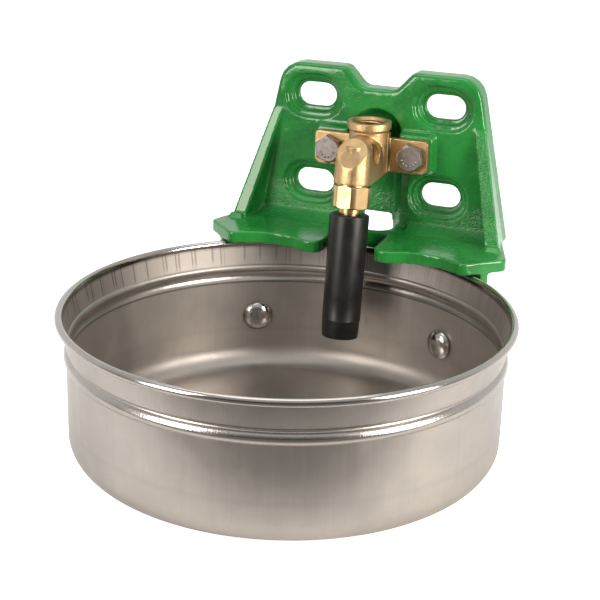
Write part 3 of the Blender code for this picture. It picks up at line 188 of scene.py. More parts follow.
floor_bm = bmesh.new()
bmesh.ops.create_grid(floor_bm, x_segments=1, y_segments=1, size=FLOOR_SIZE / 2.0)
floor_mesh = bpy.data.meshes.new("table_top")
floor_bm.to_mesh(floor_mesh)
floor_bm.free()
floor = bpy.data.objects.new("table_top", floor_mesh)
scene.collection.objects.link(floor)
floor_paint = bpy.data.materials.new("table_white")
floor_paint.use_nodes = True
tree = floor_paint.node_tree
tree.nodes.remove(tree.nodes["Principled BSDF"])
spot = tree.nodes.new("ShaderNodeTexCoord").outputs["Object"]
behind = along_axis(tree, spot, BACKWARDS)
forward = arithmetic(tree, "DIVIDE", arithmetic(tree, "MINIMUM", behind, 0.0), POOL_DEPTH)
aside = arithmetic(tree, "DIVIDE", along_axis(tree, spot, SIDEWAYS), POOL_WIDTH)
reach = arithmetic(tree, "SQRT", arithmetic(
    tree, "ADD", product(tree, forward, forward), product(tree, aside, aside),
))
backdrop = remap(tree, behind, BACKDROP_START, BACKDROP_FULL, smooth=True)
pool = arithmetic(tree, "MAXIMUM", remap(tree, reach, 1.25, 0.75, smooth=True), backdrop)
paths = tree.nodes.new("ShaderNodeLightPath")
straight = arithmetic(tree, "MAXIMUM", paths.outputs["Is Camera Ray"], paths.outputs["Is Transmission Ray"])
lit = arithmetic(tree, "MAXIMUM", straight, pool)
card = tree.nodes.new("ShaderNodeBsdfDiffuse")
tree.links.new(share_of(tree, lit, TABLE_SHADE, TABLE_WHITE), card.inputs["Color"])
glow = tree.nodes.new("ShaderNodeEmission")
reflected = product(tree, paths.outputs["Is Glossy Ray"], product(tree, backdrop, BACKDROP_MIRRORED))
tree.links.new(share_of(tree, straight, reflected, TABLE_SEEN), glow.inputs["Strength"])
total = tree.nodes.new("ShaderNodeAddShader")
tree.links.new(glow.outputs["Emission"], total.inputs[0])
tree.links.new(card.outputs["BSDF"], total.inputs[1])
tree.links.new(total.outputs["Shader"], tree.nodes["Material Output"].inputs["Surface"])
floor_mesh.materials.append(floor_paint)


# Bowl
# One disc of 1.2 mm stainless sheet, deep drawn, with a neck and a bead rolled into its wall and
# its edge curled outwards. The drawing leaves upright lines in the neck and down the outside.
RIM_RADIUS = 0.140
RIM_CURL = 0.0025
BOWL_HEIGHT = 0.0918
SHEET = 0.0012
BODY_RADIUS = 0.1337
BASE_CORNER = 0.0154
BEAD_HEIGHT = 0.0668
BEAD_HALF = 0.0040
BEAD_RISE = 0.0016
GROOVE_DEPTH = 0.0012
GROOVE_WIDTH = 0.0030
CREST_DROP = 0.0014
BOWL_STEPS = 288
BOLT_TURN = math.radians(30.2)
BOLT_HEIGHT = 0.037
BOLT_HOLE = 0.0045
HOLE_REACH = 0.006
DRAW_LINES = 74
DRAW_LINE_LOW = 0.0740
DRAW_LINE_RAGGED = 0.004
UPPER_SHADE_LINE = 0.0868
LOWER_SHADE_LINE = 0.0622
BEAD_ZONE = (0.0625, 0.0640, 0.0700, 0.0712)
DARK_BAND_ZONE = (0.0245, 0.0275, 0.0280, 0.0305)
# This dark colour draws the neck's drawing lines, which are real, and the painted shade lines inside the
# bowl.
DRAW_LINE_AND_SHADE = (0.10, 0.092, 0.088)


def arc(cx, cz, radius, start, end, steps):
    """Points on an arc, angles in degrees, both ends included."""
    points = []
    for i in range(steps + 1):
        angle = math.radians(start + (end - start) * i / steps)
        points.append((cx + radius * math.cos(angle), cz + radius * math.sin(angle)))
    return points


def piece(name, bm, sharp=35.0):
    """Make an object of a bmesh, smooth but for edges sharper than an angle in degrees."""
    mesh = bpy.data.meshes.new(name)
    bm.to_mesh(mesh)
    bm.free()
    mesh.shade_smooth()
    mesh.set_sharp_from_angle(angle=math.radians(sharp))
    obj = bpy.data.objects.new(name, mesh)
    scene.collection.objects.link(obj)
    return obj


def spun(profile, steps, place=None, ring=False):
    """Turn (radius, height) points about Z, then set the shape in its place."""
    bm = bmesh.new()
    verts = [bm.verts.new((r, 0.0, z)) for r, z in profile]
    edges = [bm.edges.new(pair) for pair in zip(verts, verts[1:])]
    if ring:
        edges.append(bm.edges.new((verts[-1], verts[0])))
    bmesh.ops.spin(
        bm, geom=verts + edges, cent=(0.0, 0.0, 0.0), axis=(0.0, 0.0, 1.0),
        angle=math.tau, steps=steps, use_merge=True,
    )
    bmesh.ops.remove_doubles(bm, verts=bm.verts, dist=0.000001)
    bmesh.ops.recalc_face_normals(bm, faces=bm.faces)
    if place is not None:
        bm.transform(place)
    return bm


def carve(target, cutter, operation="DIFFERENCE"):
    """Cut one finished shape with another, or keep what both share, and throw the tool away."""
    mod = target.modifiers.new("carve", "BOOLEAN")
    mod.operation = operation
    mod.object = cutter
    mod.solver = "EXACT"
    settle(target)
    bpy.data.objects.remove(cutter)


def settle(obj, sharp=35.0):
    """Put an object's modifiers into its mesh."""
    graph = bpy.context.evaluated_depsgraph_get()
    mesh = bpy.data.meshes.new_from_object(obj.evaluated_get(graph))
    obj.modifiers.clear()
    obj.data = mesh
    mesh.shade_smooth()
    mesh.set_sharp_from_angle(angle=math.radians(sharp))


def outward(side):
    """The frame of one bowl bolt: its Z runs out from the bowl's axis through the wall."""
    turn = Matrix.Rotation(math.radians(90.0) - side * BOLT_TURN, 4, "Z")
    return Matrix.Translation((0.0, 0.0, BOLT_HEIGHT)) @ turn @ Matrix.Rotation(math.radians(90.0), 4, "Y")


curl_r = RIM_RADIUS - RIM_CURL
curl_z = BOWL_HEIGHT - RIM_CURL
groove_z = BEAD_HEIGHT + BEAD_HALF + GROOVE_WIDTH / 2.0
outside = arc(curl_r, curl_z, RIM_CURL - SHEET, -100.0, 180.0, 24)
outside += [(curl_r - RIM_CURL + SHEET, curl_z - RIM_CURL), (BODY_RADIUS + 0.0001, groove_z + GROOVE_WIDTH)]
for i in range(9):
    share = i / 8.0
    dip = GROOVE_DEPTH * math.sin(math.pi * share) ** 0.8
    outside.append((BODY_RADIUS - dip, groove_z + GROOVE_WIDTH * (0.6 - 1.1 * share)))
for i in range(13):
    share = 1.0 - 2.0 * (i + 0.5) / 13.0
    bulge = BEAD_RISE * math.cos(share * math.pi / 2.0) ** 0.8
    outside.append((BODY_RADIUS + bulge, BEAD_HEIGHT + share * BEAD_HALF))
outside.append((BODY_RADIUS, BEAD_HEIGHT - BEAD_HALF))
outside.append((BODY_RADIUS, BEAD_HEIGHT - BEAD_HALF - 0.0008))
for i in range(1, 12):
    outside.append((BODY_RADIUS, BASE_CORNER + (BEAD_HEIGHT - BEAD_HALF - BASE_CORNER) * (1.0 - i / 12.0)))
outside += arc(BODY_RADIUS - BASE_CORNER, BASE_CORNER, BASE_CORNER, 0.0, -90.0, 14)
for share in (0.85, 0.7, 0.5, 0.3, 0.15, 0.0):
    outside.append(((BODY_RADIUS - BASE_CORNER) * share, 0.0))
bowl = piece("drawn_bowl", spun(outside, BOWL_STEPS))
outer_shell = len(bowl.data.vertices)
sheet = bowl.modifiers.new("sheet", "SOLIDIFY")
sheet.thickness = SHEET
sheet.offset = 1.0
sheet.use_even_offset = True
settle(bowl)
for vert in bowl.data.vertices[outer_shell:]:
    rising = (vert.co.z - BEAD_HEIGHT + BEAD_HALF) / (groove_z - BEAD_HEIGHT + BEAD_HALF)
    falling = (BOWL_HEIGHT - 2.0 * RIM_CURL - vert.co.z) / (BOWL_HEIGHT - 4.0 * RIM_CURL - groove_z)
    vert.co.z -= CREST_DROP * max(0.0, min(1.0, rising, falling))
for side in (-1, 1):
    hole_profile = [
        (0.0, BODY_RADIUS - HOLE_REACH), (BOLT_HOLE, BODY_RADIUS - HOLE_REACH),
        (BOLT_HOLE, BODY_RADIUS + HOLE_REACH), (0.0, BODY_RADIUS + HOLE_REACH),
    ]
    carve(bowl, piece("hole_tool", spun(hole_profile, 32, outward(side))))


def group_of(name, inputs, outputs):
    """A node group with named sockets, and its two end nodes."""
    group = bpy.data.node_groups.new(name, "ShaderNodeTree")
    for label, kind, value in inputs:
        socket = group.interface.new_socket(label, in_out="INPUT", socket_type=kind)
        socket.default_value = value
    for label, kind in outputs:
        group.interface.new_socket(label, in_out="OUTPUT", socket_type=kind)
    return group, group.nodes.new("NodeGroupInput"), group.nodes.new("NodeGroupOutput")


def stretched_noise(tree, vector, across, along, detail=3.0):
    """Noise on a vector socket, finer across X and Y than along Z."""
    scaled = tree.nodes.new("ShaderNodeVectorMath")
    scaled.operation = "MULTIPLY"
    scaled.inputs[1].default_value = (across, across, along)
    tree.links.new(vector, scaled.inputs[0])
    cells = tree.nodes.new("ShaderNodeTexNoise")
    cells.inputs["Scale"].default_value = 1.0
    cells.inputs["Detail"].default_value = detail
    tree.links.new(scaled.outputs["Vector"], cells.inputs["Vector"])
    return cells.outputs["Fac"]


def smudges():
    """Soft patches where hands and water have dulled a surface."""
    group, start, end = group_of(
        "smudges",
        [("Vector", "NodeSocketVector", (0.0, 0.0, 0.0)), ("Scale", "NodeSocketFloat", 30.0)],
        [("Mask", "NodeSocketFloat")],
    )
    patches = group.nodes.new("ShaderNodeTexNoise")
    patches.inputs["Detail"].default_value = 5.0
    patches.inputs["Distortion"].default_value = 0.6
    group.links.new(start.outputs["Vector"], patches.inputs["Vector"])
    group.links.new(start.outputs["Scale"], patches.inputs["Scale"])
    group.links.new(remap(group, patches.outputs["Fac"], 0.35, 0.68, smooth=True), end.inputs["Mask"])
    return group


def hairlines():
    """Sparse fine scratches: straight borders between large cells, kept only here and there."""
    group, start, end = group_of(
        "hairlines",
        [("Vector", "NodeSocketVector", (0.0, 0.0, 0.0)), ("Scale", "NodeSocketFloat", 8.0)],
        [("Mask", "NodeSocketFloat")],
    )
    borders = group.nodes.new("ShaderNodeTexVoronoi")
    borders.feature = "DISTANCE_TO_EDGE"
    group.links.new(start.outputs["Vector"], borders.inputs["Vector"])
    group.links.new(start.outputs["Scale"], borders.inputs["Scale"])
    line = remap(group, borders.outputs["Distance"], 0.007, 0.002)
    kept = group.nodes.new("ShaderNodeTexNoise")
    kept.inputs["Detail"].default_value = 2.0
    group.links.new(start.outputs["Vector"], kept.inputs["Vector"])
    group.links.new(product(group, start.outputs["Scale"], 1.7), kept.inputs["Scale"])
    share = remap(group, kept.outputs["Fac"], 0.60, 0.68)
    group.links.new(product(group, line, share), end.inputs["Mask"])
    return group


SMUDGES = smudges()
HAIRLINES = hairlines()


def place_group(tree, group, vector, scale):
    node = tree.nodes.new("ShaderNodeGroup")
    node.node_tree = group
    node.inputs["Scale"].default_value = scale
    tree.links.new(vector, node.inputs["Vector"])
    return node.outputs[0]


def finish(name, colour, roughness, metallic):
    """A material with a plain Principled shader, and its node tree, shader and object coordinates."""
    made = bpy.data.materials.new(name)
    made.use_nodes = True
    tree = made.node_tree
    shader = tree.nodes["Principled BSDF"]
    shader.inputs["Base Color"].default_value = (*colour, 1.0)
    shader.inputs["Roughness"].default_value = roughness
    shader.inputs["Metallic"].default_value = metallic
    where = tree.nodes.new("ShaderNodeTexCoord").outputs["Object"]
    return made, tree, shader, where


def blend_colour(tree, factor, first, second):
    """Mix two colours, each a socket or a value."""
    node = tree.nodes.new("ShaderNodeMix")
    node.data_type = "RGBA"
    tree.links.new(factor, node.inputs["Factor"])
    for socket, value in ((node.inputs[6], first), (node.inputs[7], second)):
        if isinstance(value, tuple):
            socket.default_value = (*value, 1.0)
        else:
            tree.links.new(value, socket)
    return node.outputs[2]


def dent(tree, shader, height, distance):
    bump = tree.nodes.new("ShaderNodeBump")
    bump.inputs["Distance"].default_value = distance
    tree.links.new(height, bump.inputs["Height"])
    tree.links.new(bump.outputs["Normal"], shader.inputs["Normal"])


def stainless_sheet():
    made, tree, shader, where = finish("drawn_stainless", (0.455, 0.422, 0.388), 0.3, 1.0)
    parts = tree.nodes.new("ShaderNodeSeparateXYZ")
    tree.links.new(where, parts.inputs["Vector"])
    height = parts.outputs["Z"]
    facing = tree.nodes.new("ShaderNodeNewGeometry").outputs["Normal"]
    inward_dot = tree.nodes.new("ShaderNodeVectorMath")
    inward_dot.operation = "DOT_PRODUCT"
    tree.links.new(facing, inward_dot.inputs[0])
    tree.links.new(where, inward_dot.inputs[1])
    inside = remap(tree, inward_dot.outputs["Value"], -0.02, -0.08)
    turn = arithmetic(tree, "ARCTAN2", parts.outputs["X"], product(tree, parts.outputs["Y"], -1.0))

    wall = remap(tree, height, 0.004, 0.014)
    draw = stretched_noise(tree, where, 1300.0, 7.0, 3.0)
    broad = stretched_noise(tree, where, 230.0, 5.0, 2.0)
    patches = place_group(tree, SMUDGES, where, 22.0)
    stains = place_group(tree, SMUDGES, where, 65.0)
    level = tree.nodes.new("ShaderNodeVectorMath")
    level.operation = "MULTIPLY"
    level.inputs[1].default_value = (1.0, 1.0, 2.5)
    tree.links.new(where, level.inputs[0])
    scratches = product(tree, place_group(tree, HAIRLINES, level.outputs["Vector"], 24.0), wall)

    cell_place = product(tree, turn, DRAW_LINES / math.tau)
    chance = tree.nodes.new("ShaderNodeTexWhiteNoise")
    chance.noise_dimensions = "1D"
    tree.links.new(arithmetic(tree, "FLOOR", cell_place), chance.inputs["W"])
    luck = chance.outputs["Value"]
    across = arithmetic(tree, "ADD", arithmetic(tree, "FRACT", cell_place), product(tree, luck, 0.35))
    first = near(tree, across, 0.40, 0.085, 0.010)
    second = near(tree, across, 0.62, 0.070, 0.008)
    pair = arithmetic(
        tree, "MAXIMUM", product(tree, first, remap(tree, luck, 0.10, 0.30)),
        product(tree, second, remap(tree, luck, 0.85, 0.60)),
    )
    right_to_left = arithmetic(tree, "SINE", arithmetic(tree, "ADD", turn, -0.35))
    heavier = remap(tree, right_to_left, 0.5, -0.9, 0.30, 1.0)
    line_end = arithmetic(tree, "ADD", product(tree, luck, DRAW_LINE_RAGGED), DRAW_LINE_LOW)
    neck = product(
        tree, remap(tree, arithmetic(tree, "SUBTRACT", height, line_end), -0.0015, 0.0030),
        remap(tree, height, 0.0885, 0.0872),
    )
    neck_line = product(tree, pair, neck, inside, heavier)
    # Painted shade: two thin dark rings inside the bowl stand in for the shade in those creases, one where
    # the curl starts under the rim and one just under the bead.
    upper_shade_line = near(tree, height, UPPER_SHADE_LINE, 0.00045, 0.0001)
    lower_shade_line = near(tree, height, LOWER_SHADE_LINE, 0.0008, 0.0002)
    rings = arithmetic(tree, "ADD", product(tree, upper_shade_line, 0.45), product(tree, lower_shade_line, 0.75))
    rings = product(tree, rings, inside)

    bead = between(tree, height, *BEAD_ZONE)
    flutes = stretched_noise(tree, where, 950.0, 1.0, 1.0)

    warm = blend_colour(tree, patches, (0.440, 0.410, 0.380), (0.480, 0.443, 0.405))
    dull = blend_colour(tree, product(tree, stains, 0.30), warm, (0.37, 0.345, 0.32))
    drawn = blend_colour(
        tree, product(tree, remap(tree, draw, 0.42, 0.70), product(tree, wall, 0.22)),
        dull, (0.34, 0.325, 0.31),
    )
    # A slightly darker band runs right round the bowl, inside and out, at this height.
    dark_band = between(tree, height, *DARK_BAND_ZONE)
    banded = blend_colour(tree, product(tree, dark_band, 0.16), drawn, (0.30, 0.285, 0.27))
    ringed = blend_colour(tree, rings, banded, DRAW_LINE_AND_SHADE)
    lined = blend_colour(tree, product(tree, neck_line, 0.75), ringed, DRAW_LINE_AND_SHADE)
    scored = blend_colour(tree, product(tree, scratches, 0.22), lined, (0.72, 0.69, 0.65))
    tree.links.new(scored, shader.inputs["Base Color"])

    rough = arithmetic(
        tree, "ADD", remap(tree, patches, 0.0, 1.0, 0.31, 0.37), product(tree, inside, 0.15),
    )
    rough = arithmetic(tree, "ADD", rough, remap(tree, broad, 0.3, 0.7, -0.02, 0.02))
    rim = remap(tree, height, UPPER_SHADE_LINE, 0.0880)
    rolled = arithmetic(tree, "MAXIMUM", product(tree, bead, 0.55), rim)
    rough = share_of(tree, rolled, rough, 0.15)
    tree.links.new(rough, shader.inputs["Roughness"])

    relief = product(tree, draw, wall, 0.5)
    relief = arithmetic(tree, "ADD", relief, product(tree, broad, 0.8))
    relief = arithmetic(tree, "ADD", relief, product(tree, flutes, bead, 3.0))
    relief = arithmetic(tree, "SUBTRACT", relief, product(tree, neck_line, 1.5))
    dent(tree, shader, relief, 0.00003)
    return made


STAINLESS = stainless_sheet()
bowl.data.materials.clear()
bowl.data.materials.append(STAINLESS)
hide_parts("bowl")
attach(bowl, "drinker")

# Bowl bolts
# Two M8 carriage bolts with smooth domed heads, polished, pushed out through the wall from inside.
# Their threaded ends stand behind the bracket's skirt.
BOLT_DOME_RADIUS = 0.0103
BOLT_DOME_HEIGHT = 0.0048
BOWL_BOLT_RADIUS = 0.004
THREAD_DEPTH = 0.0005
BOWL_THREAD_PITCH = 0.00125
BOWL_BOLT_END = 0.16875


def ridge(radius, depth, pitch, low, turns, place=None, inside=False):
    """One screw-thread ridge, wound on a core or in a bore."""
    steps = 20
    crest = radius - depth if inside else radius + depth
    bm = bmesh.new()
    verts = [
        bm.verts.new((radius, 0.0, low - pitch * 0.42)),
        bm.verts.new((crest, 0.0, low - pitch * 0.06)),
        bm.verts.new((crest, 0.0, low + pitch * 0.06)),
        bm.verts.new((radius, 0.0, low + pitch * 0.42)),
    ]
    edges = [bm.edges.new(pair) for pair in zip(verts, verts[1:] + verts[:1])]
    cap = bm.faces.new(verts)
    bmesh.ops.spin(
        bm, geom=[cap] + edges + verts, cent=(0.0, 0.0, 0.0), axis=(0.0, 0.0, 1.0),
        dvec=(0.0, 0.0, pitch / steps), angle=math.tau * turns, steps=int(steps * turns),
    )
    bmesh.ops.recalc_face_normals(bm, faces=bm.faces)
    if place is not None:
        bm.transform(place)
    return bm


def joined(name, shapes, sharp=35.0):
    """Gather several bmeshes in one object."""
    whole = bmesh.new()
    for shape in shapes:
        mesh = bpy.data.meshes.new("part_of_" + name)
        shape.to_mesh(mesh)
        shape.free()
        whole.from_mesh(mesh)
        bpy.data.meshes.remove(mesh)
    return piece(name, whole, sharp)


def polished_steel():
    made, tree, shader, where = finish("polished_steel", (0.55, 0.53, 0.505), 0.16, 1.0)
    worn = place_group(tree, SMUDGES, where, 260.0)
    marks = place_group(tree, HAIRLINES, where, 70.0)
    tone = blend_colour(tree, worn, (0.58, 0.555, 0.525), (0.40, 0.38, 0.355))
    tone = blend_colour(tree, marks, tone, (0.40, 0.38, 0.36))
    tree.links.new(tone, shader.inputs["Base Color"])
    tree.links.new(remap(tree, worn, 0.0, 1.0, 0.12, 0.24), shader.inputs["Roughness"])
    dent(tree, shader, stretched_noise(tree, where, 900.0, 900.0), 0.00004)
    return made


POLISHED = polished_steel()
inner_wall = BODY_RADIUS - SHEET
head_seat = math.sqrt(inner_wall ** 2 - BOLT_DOME_RADIUS ** 2) - 0.0006
for side, word in ((-1, "left"), (1, "right")):
    dome = []
    for i in range(17):
        angle = math.radians(90.0 * i / 16.0)
        drop = BOLT_DOME_HEIGHT * math.cos(angle)
        dome.append((BOLT_DOME_RADIUS * math.sin(angle), head_seat - drop))
    core = BOWL_BOLT_RADIUS - THREAD_DEPTH
    thread_start = BODY_RADIUS + 0.012
    shank = [
        (BOLT_DOME_RADIUS - 0.0002, head_seat), (BOWL_BOLT_RADIUS, head_seat),
        (BOWL_BOLT_RADIUS, thread_start), (core, thread_start + 0.0005),
        (core, BOWL_BOLT_END - 0.0008), (core - 0.0008, BOWL_BOLT_END), (0.0, BOWL_BOLT_END),
    ]
    shapes = [spun(dome + shank, 64, outward(side))]
    turns = (BOWL_BOLT_END - thread_start - 0.0025) / BOWL_THREAD_PITCH
    shapes.append(ridge(core, THREAD_DEPTH, BOWL_THREAD_PITCH, thread_start + 0.0009, turns, outward(side)))
    bolt = joined(f"domed_bolt_{word}", shapes, 45.0)
    bolt.data.materials.append(POLISHED)
    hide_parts(f"bowl_bolt_{word}")
    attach(bolt, "drinker")

# Bracket
# One grey iron casting under a thick coat of green enamel. The enamel is glossy, softens every edge
# and pools in the corners, and the sand-cast skin shows through it as a faint waviness.
CAST_CELL = 0.0009
CAST_SMOOTHING = 2
CAST_WAVE = 0.00010
CAST_WAVE_SIZE = 0.011
CAST_GRAIN = 0.00005
CAST_GRAIN_SIZE = 0.0032
FOLD_ZONE = (0.097, 0.101, 0.112, 0.126)


def cast_copy(name, node, cell, smoothing, wave, wave_size, grain, grain_size):
    """A copy of a solid with its corners rounded over and the skin of a casting."""
    bm = bmesh.new()
    bm.from_mesh(frame["nodes"][node].data)
    bmesh.ops.remove_doubles(bm, verts=bm.verts, dist=0.000005)
    bmesh.ops.recalc_face_normals(bm, faces=bm.faces)
    obj = piece(name, bm)
    obj.data.materials.clear()
    cells = obj.modifiers.new("cells", "REMESH")
    cells.mode = "VOXEL"
    cells.voxel_size = cell
    cells.use_smooth_shade = True
    soften = obj.modifiers.new("soften", "SMOOTH")
    soften.factor = 0.5
    soften.iterations = smoothing
    settle(obj, 180.0)
    bm = bmesh.new()
    bm.from_mesh(obj.data)
    bm.normal_update()
    moves = []
    for vert in bm.verts:
        rise = wave * noise.noise(vert.co / wave_size) + grain * noise.noise(vert.co / grain_size)
        moves.append(vert.normal * rise)
    for vert, move in zip(bm.verts, moves):
        vert.co += move
    bm.to_mesh(obj.data)
    bm.free()
    obj.data.shade_smooth()
    return obj


def green_enamel():
    made, tree, shader, where = finish("green_enamel", (0.014, 0.190, 0.030), 0.10, 0.0)
    pooled = place_group(tree, SMUDGES, where, 45.0)
    specks = place_group(tree, SMUDGES, where, 420.0)
    tone = blend_colour(tree, pooled, (0.016, 0.205, 0.034), (0.010, 0.150, 0.024))
    tone = blend_colour(tree, product(tree, specks, 0.25), tone, (0.026, 0.245, 0.048))
    tree.links.new(tone, shader.inputs["Base Color"])
    tree.links.new(remap(tree, specks, 0.0, 1.0, 0.07, 0.14), shader.inputs["Roughness"])
    wave = stretched_noise(tree, where, 320.0, 320.0)
    relief = arithmetic(tree, "ADD", wave, stretched_noise(tree, where, 900.0, 900.0))
    parts = tree.nodes.new("ShaderNodeSeparateXYZ")
    tree.links.new(where, parts.inputs["Vector"])
    strip = product(
        tree, remap(tree, parts.outputs["X"], 0.066, 0.070),
        remap(tree, parts.outputs["Y"], 0.1605, 0.1590), remap(tree, parts.outputs["Z"], 0.104, 0.107),
    )
    fold = product(
        tree, between(tree, parts.outputs["Z"], *FOLD_ZONE), remap(tree, parts.outputs["Y"], 0.148, 0.153),
    )
    facing = tree.nodes.new("ShaderNodeNewGeometry").outputs["Normal"]
    in_front = remap(tree, along_axis(tree, facing, (0.0, -1.0, 0.6)), 0.20, 0.50)
    sandy = product(tree, arithmetic(tree, "MAXIMUM", strip, fold), in_front)
    pits = stretched_noise(tree, where, 640.0, 640.0, 4.0)
    relief = arithmetic(tree, "ADD", relief, product(tree, pits, sandy, 11.0))
    dent(tree, shader, relief, 0.00008)
    return made


bracket = cast_copy(
    "cast_bracket", "bracket", CAST_CELL, CAST_SMOOTHING,
    CAST_WAVE, CAST_WAVE_SIZE, CAST_GRAIN, CAST_GRAIN_SIZE,
)
ENAMEL = green_enamel()
bracket.data.materials.clear()
bracket.data.materials.append(ENAMEL)
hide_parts("bracket")
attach(bracket, "drinker")

# Valve body
# A hot-pressed and sand-blasted brass casting: flange, upright inlet and leaning outlet chamber.
# Only its inlet is machined, with a half-inch pipe thread of fourteen turns to the inch.
PIVOT = Vector(next(j for j in frame["joints"] if j["name"] == "tilt_x")["pos_m"])
TUBE_AXIS = Vector(next(j for j in frame["joints"] if j["name"] == "plunger_lift")["axis"]).normalized()
OUTLET = Matrix.Translation(PIVOT) @ Matrix.Rotation(-math.atan2(TUBE_AXIS.y, TUBE_AXIS.z), 4, "X")
BRASS_CELL = 0.00042
BRASS_SMOOTHING = 3
BRASS_WAVE = 0.00006
BRASS_WAVE_SIZE = 0.006
BRASS_GRAIN = 0.00003
BRASS_GRAIN_SIZE = 0.0012
DOME_RADIUS = 0.0121
DOME_FRONT = (0.0, -0.95, 0.31)
DOME_FILL = 0.74
DOME_REACH = DOME_RADIUS * 1.6
DOME_CENTRE = 0.0176
SPOT_DEPTH = 0.0099
SPOT_LEAN = math.radians(34.0)
PARTING_RADIUS = 0.0070
INLET_PLACE = Matrix.Translation((0.0, 0.146, 0.0))
INLET_TOP = 0.1773
INLET_BORE = 0.0093
INLET_MAJOR = 0.0104
INLET_DEPTH = 0.0213
COLLAR_RADIUS = 0.0150
COLLAR_DROP = 0.0048
COLLAR_EDGE = 0.0005
PIPE_PITCH = 0.00181
PIPE_CHAMFER = 0.0018
LINING_OUTER = INLET_MAJOR - 0.00003
LINING_INNER = INLET_MAJOR - 0.0003


def blasted_brass():
    made, tree, shader, where = finish("blasted_brass", (0.56, 0.39, 0.20), 0.44, 1.0)
    patches = place_group(tree, SMUDGES, where, 130.0)
    dark = place_group(tree, SMUDGES, where, 480.0)
    gap = tree.nodes.new("ShaderNodeVectorMath")
    gap.operation = "DISTANCE"
    gap.inputs[1].default_value = SPOT_PLACE.translation
    tree.links.new(where, gap.inputs[0])
    spot = remap(tree, gap.outputs["Value"], PARTING_RADIUS + 0.0002, PARTING_RADIUS - 0.0004)
    tone = blend_colour(tree, patches, (0.57, 0.405, 0.212), (0.475, 0.322, 0.156))
    tone = blend_colour(tree, product(tree, dark, 0.35), tone, (0.36, 0.23, 0.11))
    tone = blend_colour(tree, product(tree, spot, 0.55), tone, (0.30, 0.205, 0.115))
    tree.links.new(tone, shader.inputs["Base Color"])
    rough = arithmetic(tree, "ADD", remap(tree, patches, 0.0, 1.0, 0.40, 0.50), product(tree, spot, 0.12))
    tree.links.new(rough, shader.inputs["Roughness"])
    dent(tree, shader, stretched_noise(tree, where, 1900.0, 1900.0), 0.00014)
    return made


def turned_brass():
    made, tree, shader, where = finish("turned_brass", (0.56, 0.40, 0.19), 0.30, 1.0)
    tarnish = place_group(tree, SMUDGES, where, 180.0)
    tone = blend_colour(tree, tarnish, (0.60, 0.44, 0.225), (0.52, 0.36, 0.165))
    tree.links.new(tone, shader.inputs["Base Color"])
    tree.links.new(remap(tree, tarnish, 0.0, 1.0, 0.29, 0.37), shader.inputs["Roughness"])
    dent(tree, shader, stretched_noise(tree, where, 60.0, 1400.0, 1.0), 0.00001)
    return made


SPOT_PLACE = (
    OUTLET @ Matrix.Translation((0.0, 0.0, DOME_CENTRE)) @ Matrix.Rotation(-SPOT_LEAN, 4, "X")
    @ Matrix.Translation((0.0, -SPOT_DEPTH, 0.0))
)
BLASTED = blasted_brass()
TURNED = turned_brass()
valve = cast_copy(
    "valve_casting", "valve_body", BRASS_CELL, BRASS_SMOOTHING,
    BRASS_WAVE, BRASS_WAVE_SIZE, BRASS_GRAIN, BRASS_GRAIN_SIZE,
)

# The front of the dome is filled out to a sphere and then pressed flat in one spot.
centre = OUTLET @ Vector((0.0, 0.0, DOME_CENTRE))
spot_facing = (SPOT_PLACE.translation - centre).normalized()
front = (OUTLET.to_3x3() @ Vector(DOME_FRONT)).normalized()
bm = bmesh.new()
bm.from_mesh(valve.data)
bm.normal_update()
for vert in bm.verts:
    out = vert.co - centre
    if out.length > DOME_REACH or out.dot(vert.normal) < 0.5 * out.length:
        continue
    if out.length < DOME_RADIUS and out.normalized().dot(front) > DOME_FILL:
        out *= DOME_RADIUS / out.length
    out -= spot_facing * max(0.0, out.dot(spot_facing) - SPOT_DEPTH)
    vert.co = centre + out
close = [vert for vert in bm.verts if (vert.co - centre).length < DOME_REACH]
bmesh.ops.smooth_vert(bm, verts=close, factor=0.3)
bm.to_mesh(valve.data)
bm.free()

collar_ring = [
    (INLET_BORE - 0.001, INLET_TOP), (COLLAR_RADIUS - COLLAR_EDGE, INLET_TOP),
    (COLLAR_RADIUS - COLLAR_EDGE * 0.3, INLET_TOP - COLLAR_EDGE * 0.3),
    (COLLAR_RADIUS, INLET_TOP - COLLAR_EDGE), (COLLAR_RADIUS, INLET_TOP - COLLAR_DROP + COLLAR_EDGE),
    (COLLAR_RADIUS - COLLAR_EDGE, INLET_TOP - COLLAR_DROP),
    (INLET_BORE - 0.001, INLET_TOP - COLLAR_DROP),
]
carve(valve, piece("collar_tool", spun(collar_ring, 128, INLET_PLACE, ring=True)), "UNION")
bore_tool = [
    (0.0, INLET_TOP - INLET_DEPTH), (INLET_MAJOR, INLET_TOP - INLET_DEPTH),
    (INLET_MAJOR, INLET_TOP - PIPE_CHAMFER), (INLET_MAJOR + PIPE_CHAMFER, INLET_TOP + 0.0002),
    (INLET_MAJOR + PIPE_CHAMFER, INLET_TOP + 0.003), (0.0, INLET_TOP + 0.003),
]
carve(valve, piece("bore_tool", spun(bore_tool, 96, INLET_PLACE)))
valve.data.materials.clear()
valve.data.materials.append(BLASTED)
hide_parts("valve_body")
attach(valve, "drinker")

lining_low = INLET_TOP - INLET_DEPTH + 0.0002
lining = [
    (LINING_OUTER, INLET_TOP - PIPE_CHAMFER), (LINING_OUTER, lining_low),
    (LINING_INNER, lining_low), (LINING_INNER, INLET_TOP - PIPE_CHAMFER),
]
thread_turns = (INLET_DEPTH - PIPE_CHAMFER - 0.002) / PIPE_PITCH
thread = joined("inlet_thread", [
    spun(lining, 64, INLET_PLACE, ring=True),
    ridge(
        INLET_MAJOR - 0.0001, INLET_MAJOR - INLET_BORE, PIPE_PITCH, INLET_TOP - INLET_DEPTH + 0.0012,
        thread_turns, INLET_PLACE, inside=True,
    ),
])
thread.data.materials.append(TURNED)
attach(thread, "drinker")

